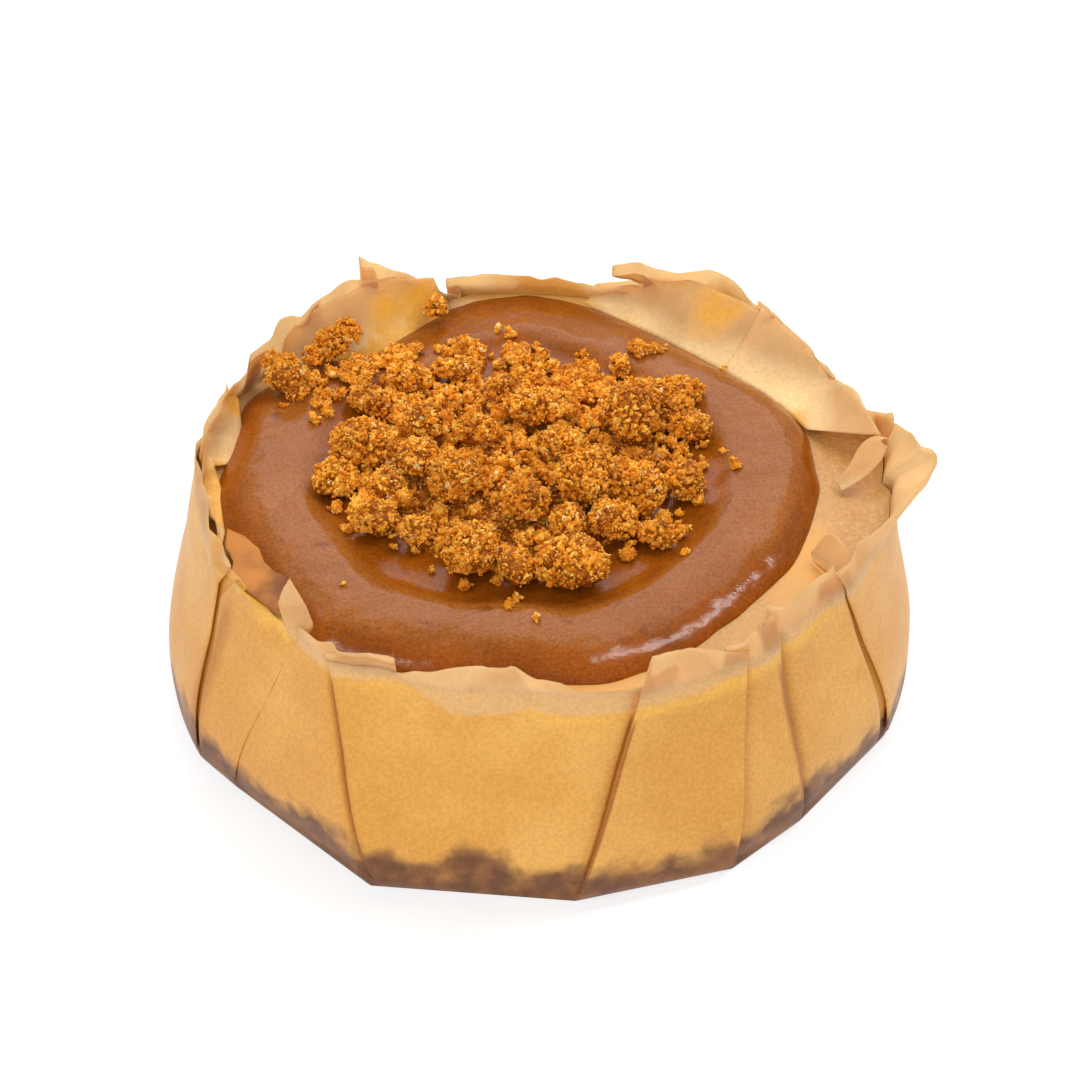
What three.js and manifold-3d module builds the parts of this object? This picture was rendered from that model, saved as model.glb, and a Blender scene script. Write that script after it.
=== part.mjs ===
// A mini speculoos cheesecake in its pleated baking paper case, in millimetres, +Z up.
// The origin is the centre of the case's flat underside, and the front of the cake looks along -Y.
// From the bottom up: paper case, biscuit base, cheesecake, caramel spread, heap of biscuit crumbs.
import * as THREE from "three";
import { mergeVertices } from "three/addons/utils/BufferGeometryUtils.js";
import Module from "manifold-3d";

const wasm = await Module();
wasm.setup();

// Driving dimensions of the stack
const GAP = 0.3; // left between pieces that touch
const PAPER = 0.45; // thickness of the paper, as one stiff sheet
const BASE_TOP = 6.2; // level where the biscuit base ends
const CAKE_TOP = 30.6; // level of the cheesecake's top
const CAKE_ROUND = 2.6; // rounding of the cheesecake's top edge
const CAKE_INSET = 0.42; // what the cake keeps clear of the innermost paper

// Driving dimensions of the caramel spread
const SPREAD_CENTRE = [-2.5, 1.5];
const SPREAD_REACH = 39.4; // mean radius of its edge
const SPREAD_EDGE = 1.9; // thickness just inside the rounded edge
const SPREAD_RING = 2.9; // thickness at the crest of the ring
const SPREAD_BASIN = 1.5; // thickness in the hollow under the crumbs
const RING_WAVE = 0.25; // rise and fall of the ring round the cake

// Driving dimensions of the crumb heap
const HEAP_CENTRE = [-3.5, 1.5];
const HEAP_REACH = [25, 24.5]; // half widths of the fine crumbs along X and Y
const HEAP_HEIGHT = 4.6; // fine crumbs above the spread, at the middle
const HEAP_FALL = 2.2; // how suddenly the mound falls off near its edge
const FINE_LUMPS = 58;
const FINE_SIZE = [1.3, 2.3]; // half sizes of the fine lumps
const GOLDEN_TURN = 137.5; // degrees between lumps in a sunflower pattern, which covers the mound evenly

// Folds of the paper, in order round the case. At each one the sheet turns back on itself and forward again.
// Values: angle at the foot, angle at the rim, side (1: the panel before the fold lies outside, -1: the
// next one), lap in degrees, rim height before and after the fold, radius at the foot, radius at the rim.
const FOLDS = [
  [8, 12, -1, 5, 35, 37, 50, 46],
  [30, 33, 1, 5, 32.2, 34.5, 49, 45.6],
  [52, 50, 1, 5, 36.5, 36.5, 48.5, 46.3],
  [74, 77.5, 1, 6, 36.8, 33.2, 48, 45.5],
  [98, 107, 1, 6, 35.7, 32.5, 48.5, 45.5],
  [120, 123, 1, 4, 41, 39, 48.5, 46],
  [140, 136, 1, 4, 37.2, 38, 48.5, 46],
  [156, 147.5, -1, 5, 38.5, 35.5, 49, 45],
  [174, 168, 1, 6, 36, 35.5, 50.4, 45.2],
  [199, 198.5, 1, 4, 34.5, 35.5, 49.6, 44.9],
  [202.6, 202, -1, 4, 35.5, 37, 49.2, 44.9],
  [211, 226, 1, 3, 41, 37, 47.6, 44.6],
  [243.4, 234.6, -1, 5, 35.5, 33.2, 49.2, 46],
  [275.6, 287.5, -1, 5, 32.8, 38.8, 47.2, 46],
  [301.6, 304.8, 1, 4, 34.6, 36, 47.8, 46],
  [317.6, 311, 1, 4, 36.6, 37, 46.4, 45.2],
  [338.9, 325.5, 1, 3.5, 38, 35.5, 48.6, 45],
  [343, 331.5, -1, 4, 35.5, 36, 49.2, 45.5],
].map(([foot, rim, side, lap, before, after, footRadius, rimRadius]) => {
  return { foot, rim, side, lap, before, after, footRadius, rimRadius };
});
// Places where the rim stands up or leans: middle angle, half width, outward lean, extra height.
const LEANS = [
  [357, 12, 6.6, 3],
  [57.5, 6, 0.4, 2.2],
  [68, 7, 0, 1],
  [115, 5, -0.4, 0.4],
  [130, 4, 0, -1.2],
  [142, 3, 0, 1.5],
  [158, 5, -0.6, 0.6],
  [208, 6, -1, 1],
  [222, 4, 0, 1.6],
  [262, 13, 0, 2.8],
].map(([angle, width, out, up]) => ({ angle, width, out, up }));
const LAYER = 0.8; // distance between layers of paper at a fold
const TURN = 0.55; // degrees that the bend of a fold takes
const FOOT_STEP = 0.3; // degrees between a fold's columns where it closes at the foot
const FOOT_LAP = 0.55; // share of its lap that a fold has at the foot
const APART_BY = 0.03; // share of the height at which the layers of a fold have come apart
const FOLDED_BY = 0.085; // share of the height at which the folds are fully laid over
const BELLY = 1.3; // how far the wall swells above the foot
const BELLY_SPAN = 0.62; // share of the height that the swelling takes
const WALL_CURVE = 1.6; // how late up the wall its radius changes
const FLAT_FOOT = 1; // share of the straight chord between two folds at the foot
const FLAT_RIM = 0.5; // the same share at the rim
const LEAN_FROM = 0.8; // share of the height where the leaning starts
const LEAN_CURVE = 1.5; // how late above that it grows
const WALL_ROWS = [0, 0.03, 0.09, 0.3, 0.58, 0.82, 0.91, 1];
const PANEL_STEP = 7.5; // degrees between columns across a panel

// Larger clumps of the heap: x, y, height of the middle above the cake, half size along X, along Y and Z.
const CLUMPS = [
  [4, -21.5, 5, 5.1, 3.8],
  [6.5, -6, 7, 4.7, 4.2],
  [13, -6.5, 5.4, 3.7, 3.8],
  [12.5, 8.5, 6.8, 3.7, 4.7],
  [-23.5, 3.5, 5.2, 4.6, 3.9],
  [-9, -19, 5, 3.7, 3.9],
  [-11, -6, 7, 3.7, 3.9],
  [-2, -10.5, 6.6, 3.4, 3.2],
  [-16, -1, 6.4, 3.1, 3],
  [9.5, -12, 4.4, 3.7, 3],
  [0, 10.5, 6.6, 5.2, 2.6],
  [20, 9.5, 3.8, 2.9, 2.3],
  [14.5, 15, 4.6, 3.6, 2.8],
  [18.8, 17.2, 4, 3.6, 2.3],
  [18.5, 13, 3.8, 2.6, 2.6],
  [-27, -2.5, 4.2, 3.2, 2.8],
  [-21.5, -11, 4.1, 3.1, 2.7],
  [-20, -4, 4, 2.9, 2.4],
  [-15, 7.5, 6.2, 3.4, 2.8],
  [-21, 14.5, 3.8, 3.4, 2.3],
  [19, -3, 4.2, 2.7, 2.8],
  [-3, -21.5, 4.4, 2.3, 2.9],
  [-16, -13.5, 3.9, 2.6, 2.3],
  [3.5, -13.5, 5.4, 2.4, 2.7],
  [15.5, -13.5, 3.4, 2.8, 1.9],
  [-4, 15.5, 5.8, 3, 2.2],
  [-8.5, 4.5, 7, 3.2, 2.2],
  [2.5, 1.5, 7, 3.2, 2.3],
  [-11.5, 23, 3.6, 3.6, 1.9],
  [-18, 20.5, 3.6, 3.6, 2.4],
  [-23.5, 16.5, 3.4, 2.6, 2],
  [11, 24, 3.4, 1.4, 1.9],
].map(([x, y, z, rx, ry]) => ({ x, y, z, rx, ry, rz: ry }));
const BIG_CLUMP = 3; // mean half size from which a clump takes a finer ball
// Loose clumps by the rim: name, x, y, height of the middle above the cake, half size.
const LOOSE = [
  ["crumb_clump_left", -34.3, 19.8, 4.9, 3],
  ["crumb_clump_back_left", -28.6, 27.6, 4.4, 2.7],
  ["crumb_clump_back", -14.6, 37.4, 3.6, 1.7],
];
const LOOSE_REACH = 1.35; // how far a loose clump reaches beside its half size
const STRAY_CRUMBS = 12; // on the ring of the spread
const STRAY_SIZE = [0.7, 1.2];
const STRAY_SHARE = [0.78, 0.9]; // where they lie, as shares of the spread's radius
const LUMP_SWELL = [0.82, 1.16]; // unevenness of a lump's corners

const DEG = Math.PI / 180;
const WELD = 1e-4; // distance at which vertices become one

// One repeatable stream of random numbers from 0 to 1.
function randomStream(seed) {
  let state = seed >>> 0;
  return () => {
    state = (state + 0x6d2b79f5) >>> 0;
    let t = state;
    t = Math.imul(t ^ (t >>> 15), t | 1);
    t ^= t + Math.imul(t ^ (t >>> 7), t | 61);
    return ((t ^ (t >>> 14)) >>> 0) / 4294967296;
  };
}

function smooth(x) {
  const t = Math.min(Math.max(x, 0), 1);
  return t * t * (3 - 2 * t);
}

function mix(a, b, t) {
  return a + (b - a) * t;
}

// Signed angle from b to a, from -180 to 180.
function turnFrom(a, b) {
  return ((((a - b + 180) % 360) + 360) % 360) - 180;
}

// A hill over an angle, 1 at its middle, with steeper sides where power is larger.
function bump(angle, middle, width, power = 2) {
  return Math.exp(-(Math.abs(turnFrom(angle, middle) / width) ** power));
}

// The paper wall

function foldAt(fold, v) {
  const belly = BELLY * Math.sin(Math.PI * Math.min(v / BELLY_SPAN, 1)) * (1 - v);
  return {
    angle: mix(fold.foot, fold.rim, v),
    radius: mix(fold.footRadius, fold.rimRadius, v ** WALL_CURVE) + belly,
    lap: fold.lap * mix(FOOT_LAP, 1, v),
  };
}

// Sum of one value of LEANS at an angle, either "out" or "up".
function leanAt(angle, value) {
  return LEANS.reduce((sum, lean) => sum + lean[value] * bump(angle, lean.angle, lean.width, 3), 0);
}

// Radius of the wall's middle layer at an angle, for the share v of its height.
function wallRadius(angle, v) {
  const corners = FOLDS.map((fold) => foldAt(fold, v));
  const a = ((angle % 360) + 360) % 360;
  let k = corners.findLastIndex((corner) => corner.angle <= a);
  if (k < 0) k = corners.length - 1;
  const here = corners[k];
  const next = corners[(k + 1) % corners.length];
  const span = (((next.angle - here.angle) % 360) + 360) % 360;
  const t = ((((a - here.angle) % 360) + 360) % 360) / span;
  const arc = mix(here.radius, next.radius, t);
  const chord =
    (here.radius * next.radius * Math.sin(span * DEG)) /
    (here.radius * Math.sin(span * t * DEG) + next.radius * Math.sin(span * (1 - t) * DEG));
  const lean = leanAt(angle, "out") * smooth((v - LEAN_FROM) / (1 - LEAN_FROM)) ** LEAN_CURVE;
  return mix(arc, chord, mix(FLAT_FOOT, FLAT_RIM, v)) + lean;
}

// Points of a fold from its outside to its inside, as shares of its lap, turns of its bend, and layer.
const FOLD_POINTS = [
  [0, -1, 1],
  [0, 0, 0.5],
  [0, -1, 0],
  [-1, 1, 0],
  [-1, 0, -0.5],
  [-1, 1, -1],
];

// The columns of one fold at height share v: angle and layer of each, in order round the case.
function foldColumns(fold, v) {
  const { angle, lap } = foldAt(fold, v);
  const folded = smooth((v - APART_BY) / (FOLDED_BY - APART_BY));
  const mirrored = FOLD_POINTS.map(([share, turns, layer]) => [-share, -turns, layer]);
  const points = fold.side > 0 ? FOLD_POINTS : mirrored.reverse();
  return points.map(([share, turns, layer], i) => {
    const closed = angle + (i - (points.length - 1) / 2) * FOOT_STEP;
    return { angle: mix(closed, angle + share * lap + turns * TURN, folded), layer };
  });
}

// Columns of the sheet at height share v: angle, layer (1 outside, -1 inside) and rim height of each.
function paperColumns(v) {
  const apart = smooth(v / APART_BY);
  return FOLDS.flatMap((fold, k) => {
    const next = FOLDS[(k + 1) % FOLDS.length];
    const here = foldColumns(fold, v);
    const [start] = foldColumns(next, v);
    const end = here[here.length - 1];
    const width = (start.angle - end.angle + 360) % 360;
    const steps = Math.max(2, Math.ceil(((next.rim - fold.rim + 360) % 360) / PANEL_STEP));
    const panel = Array.from({ length: steps - 1 }, (_, j) => {
      const t = (j + 1) / steps;
      const layer = mix(end.layer, start.layer, smooth(t)) * apart;
      return { angle: end.angle + width * t, layer, height: mix(fold.after, next.before, t) };
    });
    const folds = here.map(({ angle, layer }) => {
      const height = mix(fold.before, fold.after, (1 - layer * fold.side) / 2);
      return { angle, layer: layer * apart, height };
    });
    return [...folds, ...panel];
  });
}

// One closed loop of points of the sheet's middle at height share v.
function paperLoop(v) {
  return paperColumns(v).map(({ angle, layer, height }) => {
    const radius = wallRadius(angle, v) + layer * LAYER;
    const z = v * (height + leanAt(angle, "up"));
    return new THREE.Vector3(radius * Math.cos(angle * DEG), radius * Math.sin(angle * DEG), z);
  });
}

// Moves a loop sideways, to the outside where distance is positive.
function offsetLoop(loop, distance) {
  return loop.map((point, i) => {
    const before = loop[(i + loop.length - 1) % loop.length];
    const after = loop[(i + 1) % loop.length];
    const along = new THREE.Vector2(after.x - before.x, after.y - before.y).normalize();
    return new THREE.Vector3(point.x + along.y * distance, point.y - along.x * distance, point.z);
  });
}

// Closed surface from loops of equal length, closed at both ends by a fan to a middle point.
function skin(loops, firstMiddle, lastMiddle) {
  const n = loops[0].length;
  const positions = loops.flat().flatMap((p) => [p.x, p.y, p.z]);
  const firstIndex = positions.length / 3;
  positions.push(...firstMiddle, ...lastMiddle);
  const index = [];
  for (let r = 0; r + 1 < loops.length; r++) {
    for (let i = 0; i < n; i++) {
      const a = r * n + i;
      const b = r * n + ((i + 1) % n);
      index.push(a, b, b + n, a, b + n, a + n);
    }
  }
  const top = (loops.length - 1) * n;
  for (let i = 0; i < n; i++) {
    const j = (i + 1) % n;
    index.push(firstIndex, j, i, firstIndex + 1, top + i, top + j);
  }
  const geometry = new THREE.BufferGeometry();
  geometry.setAttribute("position", new THREE.Float32BufferAttribute(positions, 3));
  geometry.setIndex(index);
  return geometry;
}

const PAPER_OUTER = WALL_ROWS.map((v) => offsetLoop(paperLoop(v), PAPER / 2));
const PAPER_INNER = WALL_ROWS.map((v) => offsetLoop(paperLoop(v), -PAPER / 2));
PAPER_INNER[0].forEach((point) => (point.z = PAPER));

// The sheet goes up its outer face, over the rim and down its inner face to the floor.
function paperGeometry() {
  return skin([...PAPER_OUTER, ...PAPER_INNER.toReversed()], [0, 0, 0], [0, 0, PAPER]);
}

// The cake inside the paper

const ROUND_COLUMNS = 56;
const LOOK_ASIDE = 3; // degrees to either side within which the cake keeps clear of the paper

// Points where the sheet's inner face crosses level z, in order round the case.
function innerFaceAt(z) {
  return PAPER_INNER[0].map((_, i) => {
    const column = PAPER_INNER.map((loop) => loop[i]);
    const above = column.findIndex((p, row) => row > 0 && p.z > z);
    const [low, high] = [column[above - 1], column[above]];
    return low.clone().lerp(high, (z - low.z) / (high.z - low.z));
  });
}

// Smallest radius at which a ray from the middle meets a closed loop.
function nearestHit(loop, angle) {
  const ray = [Math.cos(angle * DEG), Math.sin(angle * DEG)];
  let nearest = Infinity;
  loop.forEach((a, i) => {
    const b = loop[(i + 1) % loop.length];
    const sideA = ray[0] * a.y - ray[1] * a.x;
    const sideB = ray[0] * b.y - ray[1] * b.x;
    if (sideA * sideB > 0 || sideA === sideB) return;
    const hit = a.clone().lerp(b, sideA / (sideA - sideB));
    const reach = ray[0] * hit.x + ray[1] * hit.y;
    if (reach > 0) nearest = Math.min(nearest, reach);
  });
  return nearest;
}

// Loop of the cake at level z, inside the paper by CAKE_INSET and by extra.
function cakeLoop(z, extra, paperLevel = z) {
  const paper = innerFaceAt(paperLevel);
  return Array.from({ length: ROUND_COLUMNS }, (_, i) => {
    const angle = (i * 360) / ROUND_COLUMNS;
    const hits = [-1, -0.5, 0, 0.5, 1].map((share) => nearestHit(paper, angle + share * LOOK_ASIDE));
    const radius = Math.min(...hits) - CAKE_INSET - extra;
    return new THREE.Vector3(radius * Math.cos(angle * DEG), radius * Math.sin(angle * DEG), z);
  });
}

function biscuitBaseGeometry() {
  const bottom = PAPER + GAP;
  const chamfer = 0.7; // the pressed crumbs don't fill the crease at the foot
  const foot = cakeLoop(bottom, chamfer, bottom + chamfer);
  const wall = [bottom + chamfer, (bottom + BASE_TOP) / 2, BASE_TOP].map((z) => cakeLoop(z, 0.1));
  return skin([foot, ...wall], [0, 0, bottom], [0, 0, BASE_TOP]);
}

function cheesecakeGeometry() {
  const bottom = BASE_TOP + GAP;
  const shoulder = CAKE_TOP - CAKE_ROUND;
  const wall = [0, 0.3, 0.65, 1].map((share) => cakeLoop(mix(bottom, shoulder, share), 0));
  const edge = [30, 60, 90].map((turn) => {
    const inset = CAKE_ROUND * (1 - Math.cos(turn * DEG));
    return cakeLoop(shoulder + CAKE_ROUND * Math.sin(turn * DEG), inset);
  });
  return skin([...wall, ...edge], [0, 0, bottom], [0, 0, CAKE_TOP]);
}

// The caramel spread

// Bulges and dents of the spread's edge: middle angle, half width, outward distance.
const SPREAD_BULGES = [
  [92, 13, 2.6],
  [48, 20, -4],
  [18, 16, 1.2],
  [284, 11, 3.6],
  [306, 10, -1.6],
  [122, 14, -2.2],
  [162, 12, 1.4],
  [190, 20, 0.9],
  [254, 12, -1.4],
];
// Height profile from the middle to the edge: share of the radius, and thickness there.
const SPREAD_PROFILE = [
  [0.25, SPREAD_BASIN],
  [0.5, SPREAD_BASIN],
  [0.66, SPREAD_BASIN],
  [0.735, SPREAD_RING - 0.35],
  [0.82, SPREAD_RING],
  [0.92, SPREAD_EDGE + 0.4],
  [0.97, SPREAD_EDGE * 0.75],
];

const SPREAD_FOOT = 0.96; // share of the radius where its rounded edge meets the cake

function spreadReach(angle) {
  const bulges = SPREAD_BULGES.map(([middle, width, out]) => out * bump(angle, middle, width));
  return bulges.reduce((sum, bulge) => sum + bulge, SPREAD_REACH);
}

function spreadPoint(angle, share, z, wider = 0) {
  const radius = spreadReach(angle) * share + wider;
  return new THREE.Vector3(
    SPREAD_CENTRE[0] + radius * Math.cos(angle * DEG),
    SPREAD_CENTRE[1] + radius * Math.sin(angle * DEG),
    z,
  );
}

// Thickness of the spread at an angle and a share of its radius, with the slow wave that a spatula leaves.
function spreadThickness(angle, share) {
  let thickness = SPREAD_BASIN;
  for (let i = 0; i + 1 < SPREAD_PROFILE.length; i++) {
    const [s0, t0] = SPREAD_PROFILE[i];
    const [s1, t1] = SPREAD_PROFILE[i + 1];
    if (share > s0) thickness = mix(t0, t1, Math.min((share - s0) / (s1 - s0), 1));
  }
  const onRing = smooth((share - 0.5) / 0.2) * (1 - smooth((share - 0.85) / 0.15));
  return thickness + RING_WAVE * onRing * Math.sin((2 * angle + 40) * DEG);
}

// The spread's skin from its underside up to the hollow, or larger by grow upwards and outwards.
function spreadLoops(grow) {
  const bottom = CAKE_TOP + GAP;
  const loop = (share, height) => {
    const angles = Array.from({ length: ROUND_COLUMNS }, (_, i) => (i * 360) / ROUND_COLUMNS);
    return angles.map((angle) => spreadPoint(angle, share, height(angle), grow));
  };
  const underside = loop(SPREAD_FOOT, () => bottom);
  const side = loop(1, () => bottom + grow + SPREAD_EDGE * 0.35);
  const shares = SPREAD_PROFILE.map(([share]) => share).reverse();
  const top = shares.map((share) => loop(share, (angle) => bottom + grow + spreadThickness(angle, share)));
  return [underside, side, ...top];
}

// Solids and joins

function solidOf(geometry) {
  const bare = new THREE.BufferGeometry();
  bare.setAttribute("position", geometry.getAttribute("position"));
  bare.setIndex(geometry.index);
  const merged = mergeVertices(bare, WELD);
  return new wasm.Manifold(
    new wasm.Mesh({
      numProp: 3,
      vertProperties: merged.getAttribute("position").array,
      triVerts: new Uint32Array(merged.index.array),
    }),
  );
}

function geometryOf(solid) {
  const mesh = solid.getMesh();
  const positions = [];
  for (let i = 0; i < mesh.numVert; i++) {
    positions.push(...mesh.vertProperties.subarray(i * mesh.numProp, i * mesh.numProp + 3));
  }
  const geometry = new THREE.BufferGeometry();
  geometry.setAttribute("position", new THREE.Float32BufferAttribute(positions, 3));
  geometry.setIndex(Array.from(mesh.triVerts));
  return geometry;
}

// Only the largest body of a solid, without loose scraps.
function largest(solid) {
  return solid.decompose().reduce((best, body) => (body.volume() > best.volume() ? body : best));
}

// Level of the spread's surface under a point, where the spread reaches.
function spreadSurface(x, y) {
  const dx = x - SPREAD_CENTRE[0];
  const dy = y - SPREAD_CENTRE[1];
  const angle = Math.atan2(dy, dx) / DEG;
  return CAKE_TOP + GAP + spreadThickness(angle, Math.hypot(dx, dy) / spreadReach(angle));
}

// A rough lump with its middle at a place, a stretched ball of few faces with uneven corners.
function lump(place, sizes, detail, random) {
  const ball = new THREE.IcosahedronGeometry(1, detail);
  ball.deleteAttribute("normal");
  ball.deleteAttribute("uv");
  const shape = mergeVertices(ball, WELD);
  const points = shape.getAttribute("position");
  const turn = random() * 360 * DEG;
  for (let i = 0; i < points.count; i++) {
    const swell = mix(...LUMP_SWELL, random());
    const p = new THREE.Vector3().fromBufferAttribute(points, i).multiplyScalar(swell);
    p.applyAxisAngle(new THREE.Vector3(0, 0, 1), turn);
    points.setXYZ(i, place[0] + p.x * sizes[0], place[1] + p.y * sizes[1], place[2] + p.z * sizes[2]);
  }
  return solidOf(shape);
}

function clearOfLoose({ x, y }, room) {
  return LOOSE.every(([, looseX, looseY, , size]) => {
    return Math.hypot(x - looseX, y - looseY) > size * LOOSE_REACH + room;
  });
}

// The spread, with stray crumbs fused to its ring clear of the heap and of the loose clumps.
function spreadSolid() {
  const random = randomStream(7);
  const bottom = CAKE_TOP + GAP;
  const middles = [bottom, bottom + SPREAD_BASIN].map((z) => [...SPREAD_CENTRE, z]);
  const body = solidOf(skin(spreadLoops(0), ...middles));
  const places = Array.from({ length: STRAY_CRUMBS }, (_, i) => {
    const angle = (i + 0.8 * random()) * (360 / STRAY_CRUMBS);
    return spreadPoint(angle, mix(...STRAY_SHARE, random()), 0);
  });
  const crumbs = places
    .filter((place) => clearOfLoose(place, 2 * STRAY_SIZE[1]))
    .map(({ x, y }) => {
      const size = mix(...STRAY_SIZE, random());
      return lump([x, y, spreadSurface(x, y) + size * 0.4], [size, size, size], 0, random);
    });
  return largest(wasm.Manifold.union([body, ...crumbs]));
}

// What the crumbs must stay above: everything up to the gap over the spread, out past the heap.
function spreadClearance() {
  const loops = spreadLoops(GAP).slice(1);
  const depth = CAKE_TOP / 2;
  const floor = loops[0].map((p) => new THREE.Vector3(p.x, p.y, depth));
  const middle = [...SPREAD_CENTRE, CAKE_TOP + 2 * GAP + SPREAD_BASIN];
  return solidOf(skin([floor, ...loops], [...SPREAD_CENTRE, depth], middle));
}

// Height of the fine crumbs over the spread at a point, or below zero outside their reach.
function heapRise(x, y) {
  const reach = Math.hypot((x - HEAP_CENTRE[0]) / HEAP_REACH[0], (y - HEAP_CENTRE[1]) / HEAP_REACH[1]);
  return HEAP_HEIGHT * (1 - reach ** HEAP_FALL);
}

// The heap: a flat mound with fine lumps over it and the larger clumps fused on, resting on the spread.
function heapSolid(clearance) {
  const random = randomStream(21);
  const moundMiddle = [...HEAP_CENTRE, CAKE_TOP + SPREAD_BASIN];
  const mound = lump(moundMiddle, [...HEAP_REACH, HEAP_HEIGHT + 0.4], 2, () => 0.5);
  const clumps = CLUMPS.map(({ x, y, z, rx, ry, rz }) => {
    const detail = (rx + ry) / 2 > BIG_CLUMP ? 1 : 0;
    return lump([x, y, CAKE_TOP + z], [rx, ry, rz], detail, random);
  });
  const fine = Array.from({ length: FINE_LUMPS }, (_, i) => {
    const reach = Math.sqrt((i + 0.5) / FINE_LUMPS);
    const angle = i * GOLDEN_TURN * DEG;
    const x = HEAP_CENTRE[0] + HEAP_REACH[0] * reach * Math.cos(angle);
    const y = HEAP_CENTRE[1] + HEAP_REACH[1] * reach * Math.sin(angle);
    const size = mix(...FINE_SIZE, random());
    const z = spreadSurface(x, y) + heapRise(x, y) + size * 0.3;
    return lump([x, y, z], [size * 1.2, size, size], 0, random);
  });
  return largest(wasm.Manifold.union([mound, ...clumps, ...fine]).subtract(clearance));
}

// A loose clump by the rim: a lump with smaller ones round it, resting just clear of the spread.
function looseClump([, x, y, z, size], clearance, random) {
  const middle = lump([x, y, CAKE_TOP + z], [size, size, size], 1, random);
  const part = size * 0.6;
  const around = [0, 120, 240].map((start) => {
    const angle = (start + 40 * random()) * DEG;
    const side = [x + part * Math.cos(angle), y + part * Math.sin(angle)];
    return lump([...side, CAKE_TOP + z + part * (random() - 0.5)], [part, part, part], 0, random);
  });
  return largest(wasm.Manifold.union([middle, ...around]).subtract(clearance));
}

// The model

const paperLook = { color: 0xe2a95c, roughness: 0.55, metalness: 0 };
const biscuitLook = { color: 0x7d4f33, roughness: 0.9, metalness: 0 };
const cakeLook = { color: 0xdca468, roughness: 0.6, metalness: 0 };
const caramelLook = { color: 0xaa683a, roughness: 0.25, metalness: 0 };
const crumbLook = { color: 0xb56a22, roughness: 0.95, metalness: 0 };

const cheesecake = new THREE.Group();

function addPiece(name, geometry, look) {
  const flat = geometry.index ? mergeVertices(geometry, 1e-4) : geometry;
  flat.computeVertexNormals();
  const mesh = new THREE.Mesh(flat, new THREE.MeshStandardMaterial(look));
  mesh.name = name;
  cheesecake.add(mesh);
}

const clearance = spreadClearance();
addPiece("paper_case", paperGeometry(), paperLook);
addPiece("biscuit_base", biscuitBaseGeometry(), biscuitLook);
addPiece("cheesecake", cheesecakeGeometry(), cakeLook);
addPiece("caramel_spread", geometryOf(spreadSolid()), caramelLook);
addPiece("crumb_heap", geometryOf(heapSolid(clearance)), crumbLook);
LOOSE.forEach((clump, i) => {
  addPiece(clump[0], geometryOf(looseClump(clump, clearance, randomStream(40 + i))), crumbLook);
});

export default cheesecake;
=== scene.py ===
# %% [markdown]
# A small caramel cheesecake in its baking paper
#
# The real thing is a disc of baked cream cheese on a pressed biscuit base, 10 cm across.
# It stands in the sheet of baking paper that lined its tin, pressed into pleats.
# On top lies a glossy pool of caramel spread with a raised ring, and on that a heap of biscuit crumbs.
# Everything is placed in the frame of the CAD part. Blender works in metres, so the numbers below are
# in millimetres, as in the part's own source, and MM turns them into metres.

import math

import bmesh
import bpy
import numpy as np
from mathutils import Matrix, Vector, noise


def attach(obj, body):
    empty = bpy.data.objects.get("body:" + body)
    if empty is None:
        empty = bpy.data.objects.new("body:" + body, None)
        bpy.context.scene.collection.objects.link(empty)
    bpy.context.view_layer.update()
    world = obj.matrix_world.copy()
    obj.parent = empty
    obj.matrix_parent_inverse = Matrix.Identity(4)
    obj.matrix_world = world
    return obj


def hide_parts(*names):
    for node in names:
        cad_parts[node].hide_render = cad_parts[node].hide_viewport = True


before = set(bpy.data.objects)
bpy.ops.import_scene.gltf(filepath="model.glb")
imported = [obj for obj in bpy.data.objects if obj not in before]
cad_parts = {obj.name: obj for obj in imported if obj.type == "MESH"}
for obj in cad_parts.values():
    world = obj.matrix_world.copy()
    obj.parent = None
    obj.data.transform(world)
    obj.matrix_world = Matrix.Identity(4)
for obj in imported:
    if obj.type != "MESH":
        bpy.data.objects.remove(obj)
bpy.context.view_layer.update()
scene = bpy.context.scene
MM = 0.001
print("CAD nodes:", ", ".join(sorted(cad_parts)))

# %% [markdown]
# Camera
#
# The photograph looks down on the cake at 38 degrees from about an arm's length, through a long lens.
# The long lens matters more than the exact distance: it keeps the round cake from looking stretched.

# %% Camera
LOOK_AT = Vector((0, 0, 22.6 * MM))
CAMERA_RISE = math.radians(38)
CAMERA_DISTANCE = 650 * MM
LENS = 161.4

camera = bpy.data.objects.new("camera", bpy.data.cameras.new("camera"))
camera.data.lens = LENS
camera.data.sensor_width = 36
away = Vector((0, -math.cos(CAMERA_RISE), math.sin(CAMERA_RISE)))
camera.location = LOOK_AT + CAMERA_DISTANCE * away
camera.rotation_euler = (math.pi / 2 - CAMERA_RISE, 0, 0)
scene.collection.objects.link(camera)
scene.camera = camera
print("camera at", tuple(round(c, 4) for c in camera.location))

# %% [markdown]
# Colours
#
# Colours are easiest to judge on the 0 to 255 scale of a screen, but shaders work with linear light.
# One small function converts between them, so every colour below can be read as a screen colour.


# %% Colours
def colour(r, g, b):
    """A screen colour from 0 to 255 as the linear colour that a shader wants."""
    screen = np.array([r, g, b]) / 255
    linear = np.where(screen <= 0.04045, screen / 12.92, ((screen + 0.055) / 1.055) ** 2.4)
    return (*linear.tolist(), 1.0)


print("the middle grey of a screen as light:", round(colour(128, 128, 128)[0], 3))


# %% [markdown]
# Light and floor
#
# The photograph is lit by large soft lights in a white room, so shadows are faint and the floor burns
# out to white. The floor here glows like a light box and the world is white, which does most of that.
# A bright backdrop stands behind the cake: it shines through the paper's rim, and the level parts of the
# glossy spread mirror it, which is what makes them look milky. A narrow lamp at the right draws the
# streak on the spread's bank and a small one at the left its glints. The three broad lamps model the
# pleats, the rim and the lumps; the photograph shows no mirror image of them, so they make none here.

# %% Light
SKY_STRENGTH = 0.4

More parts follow.
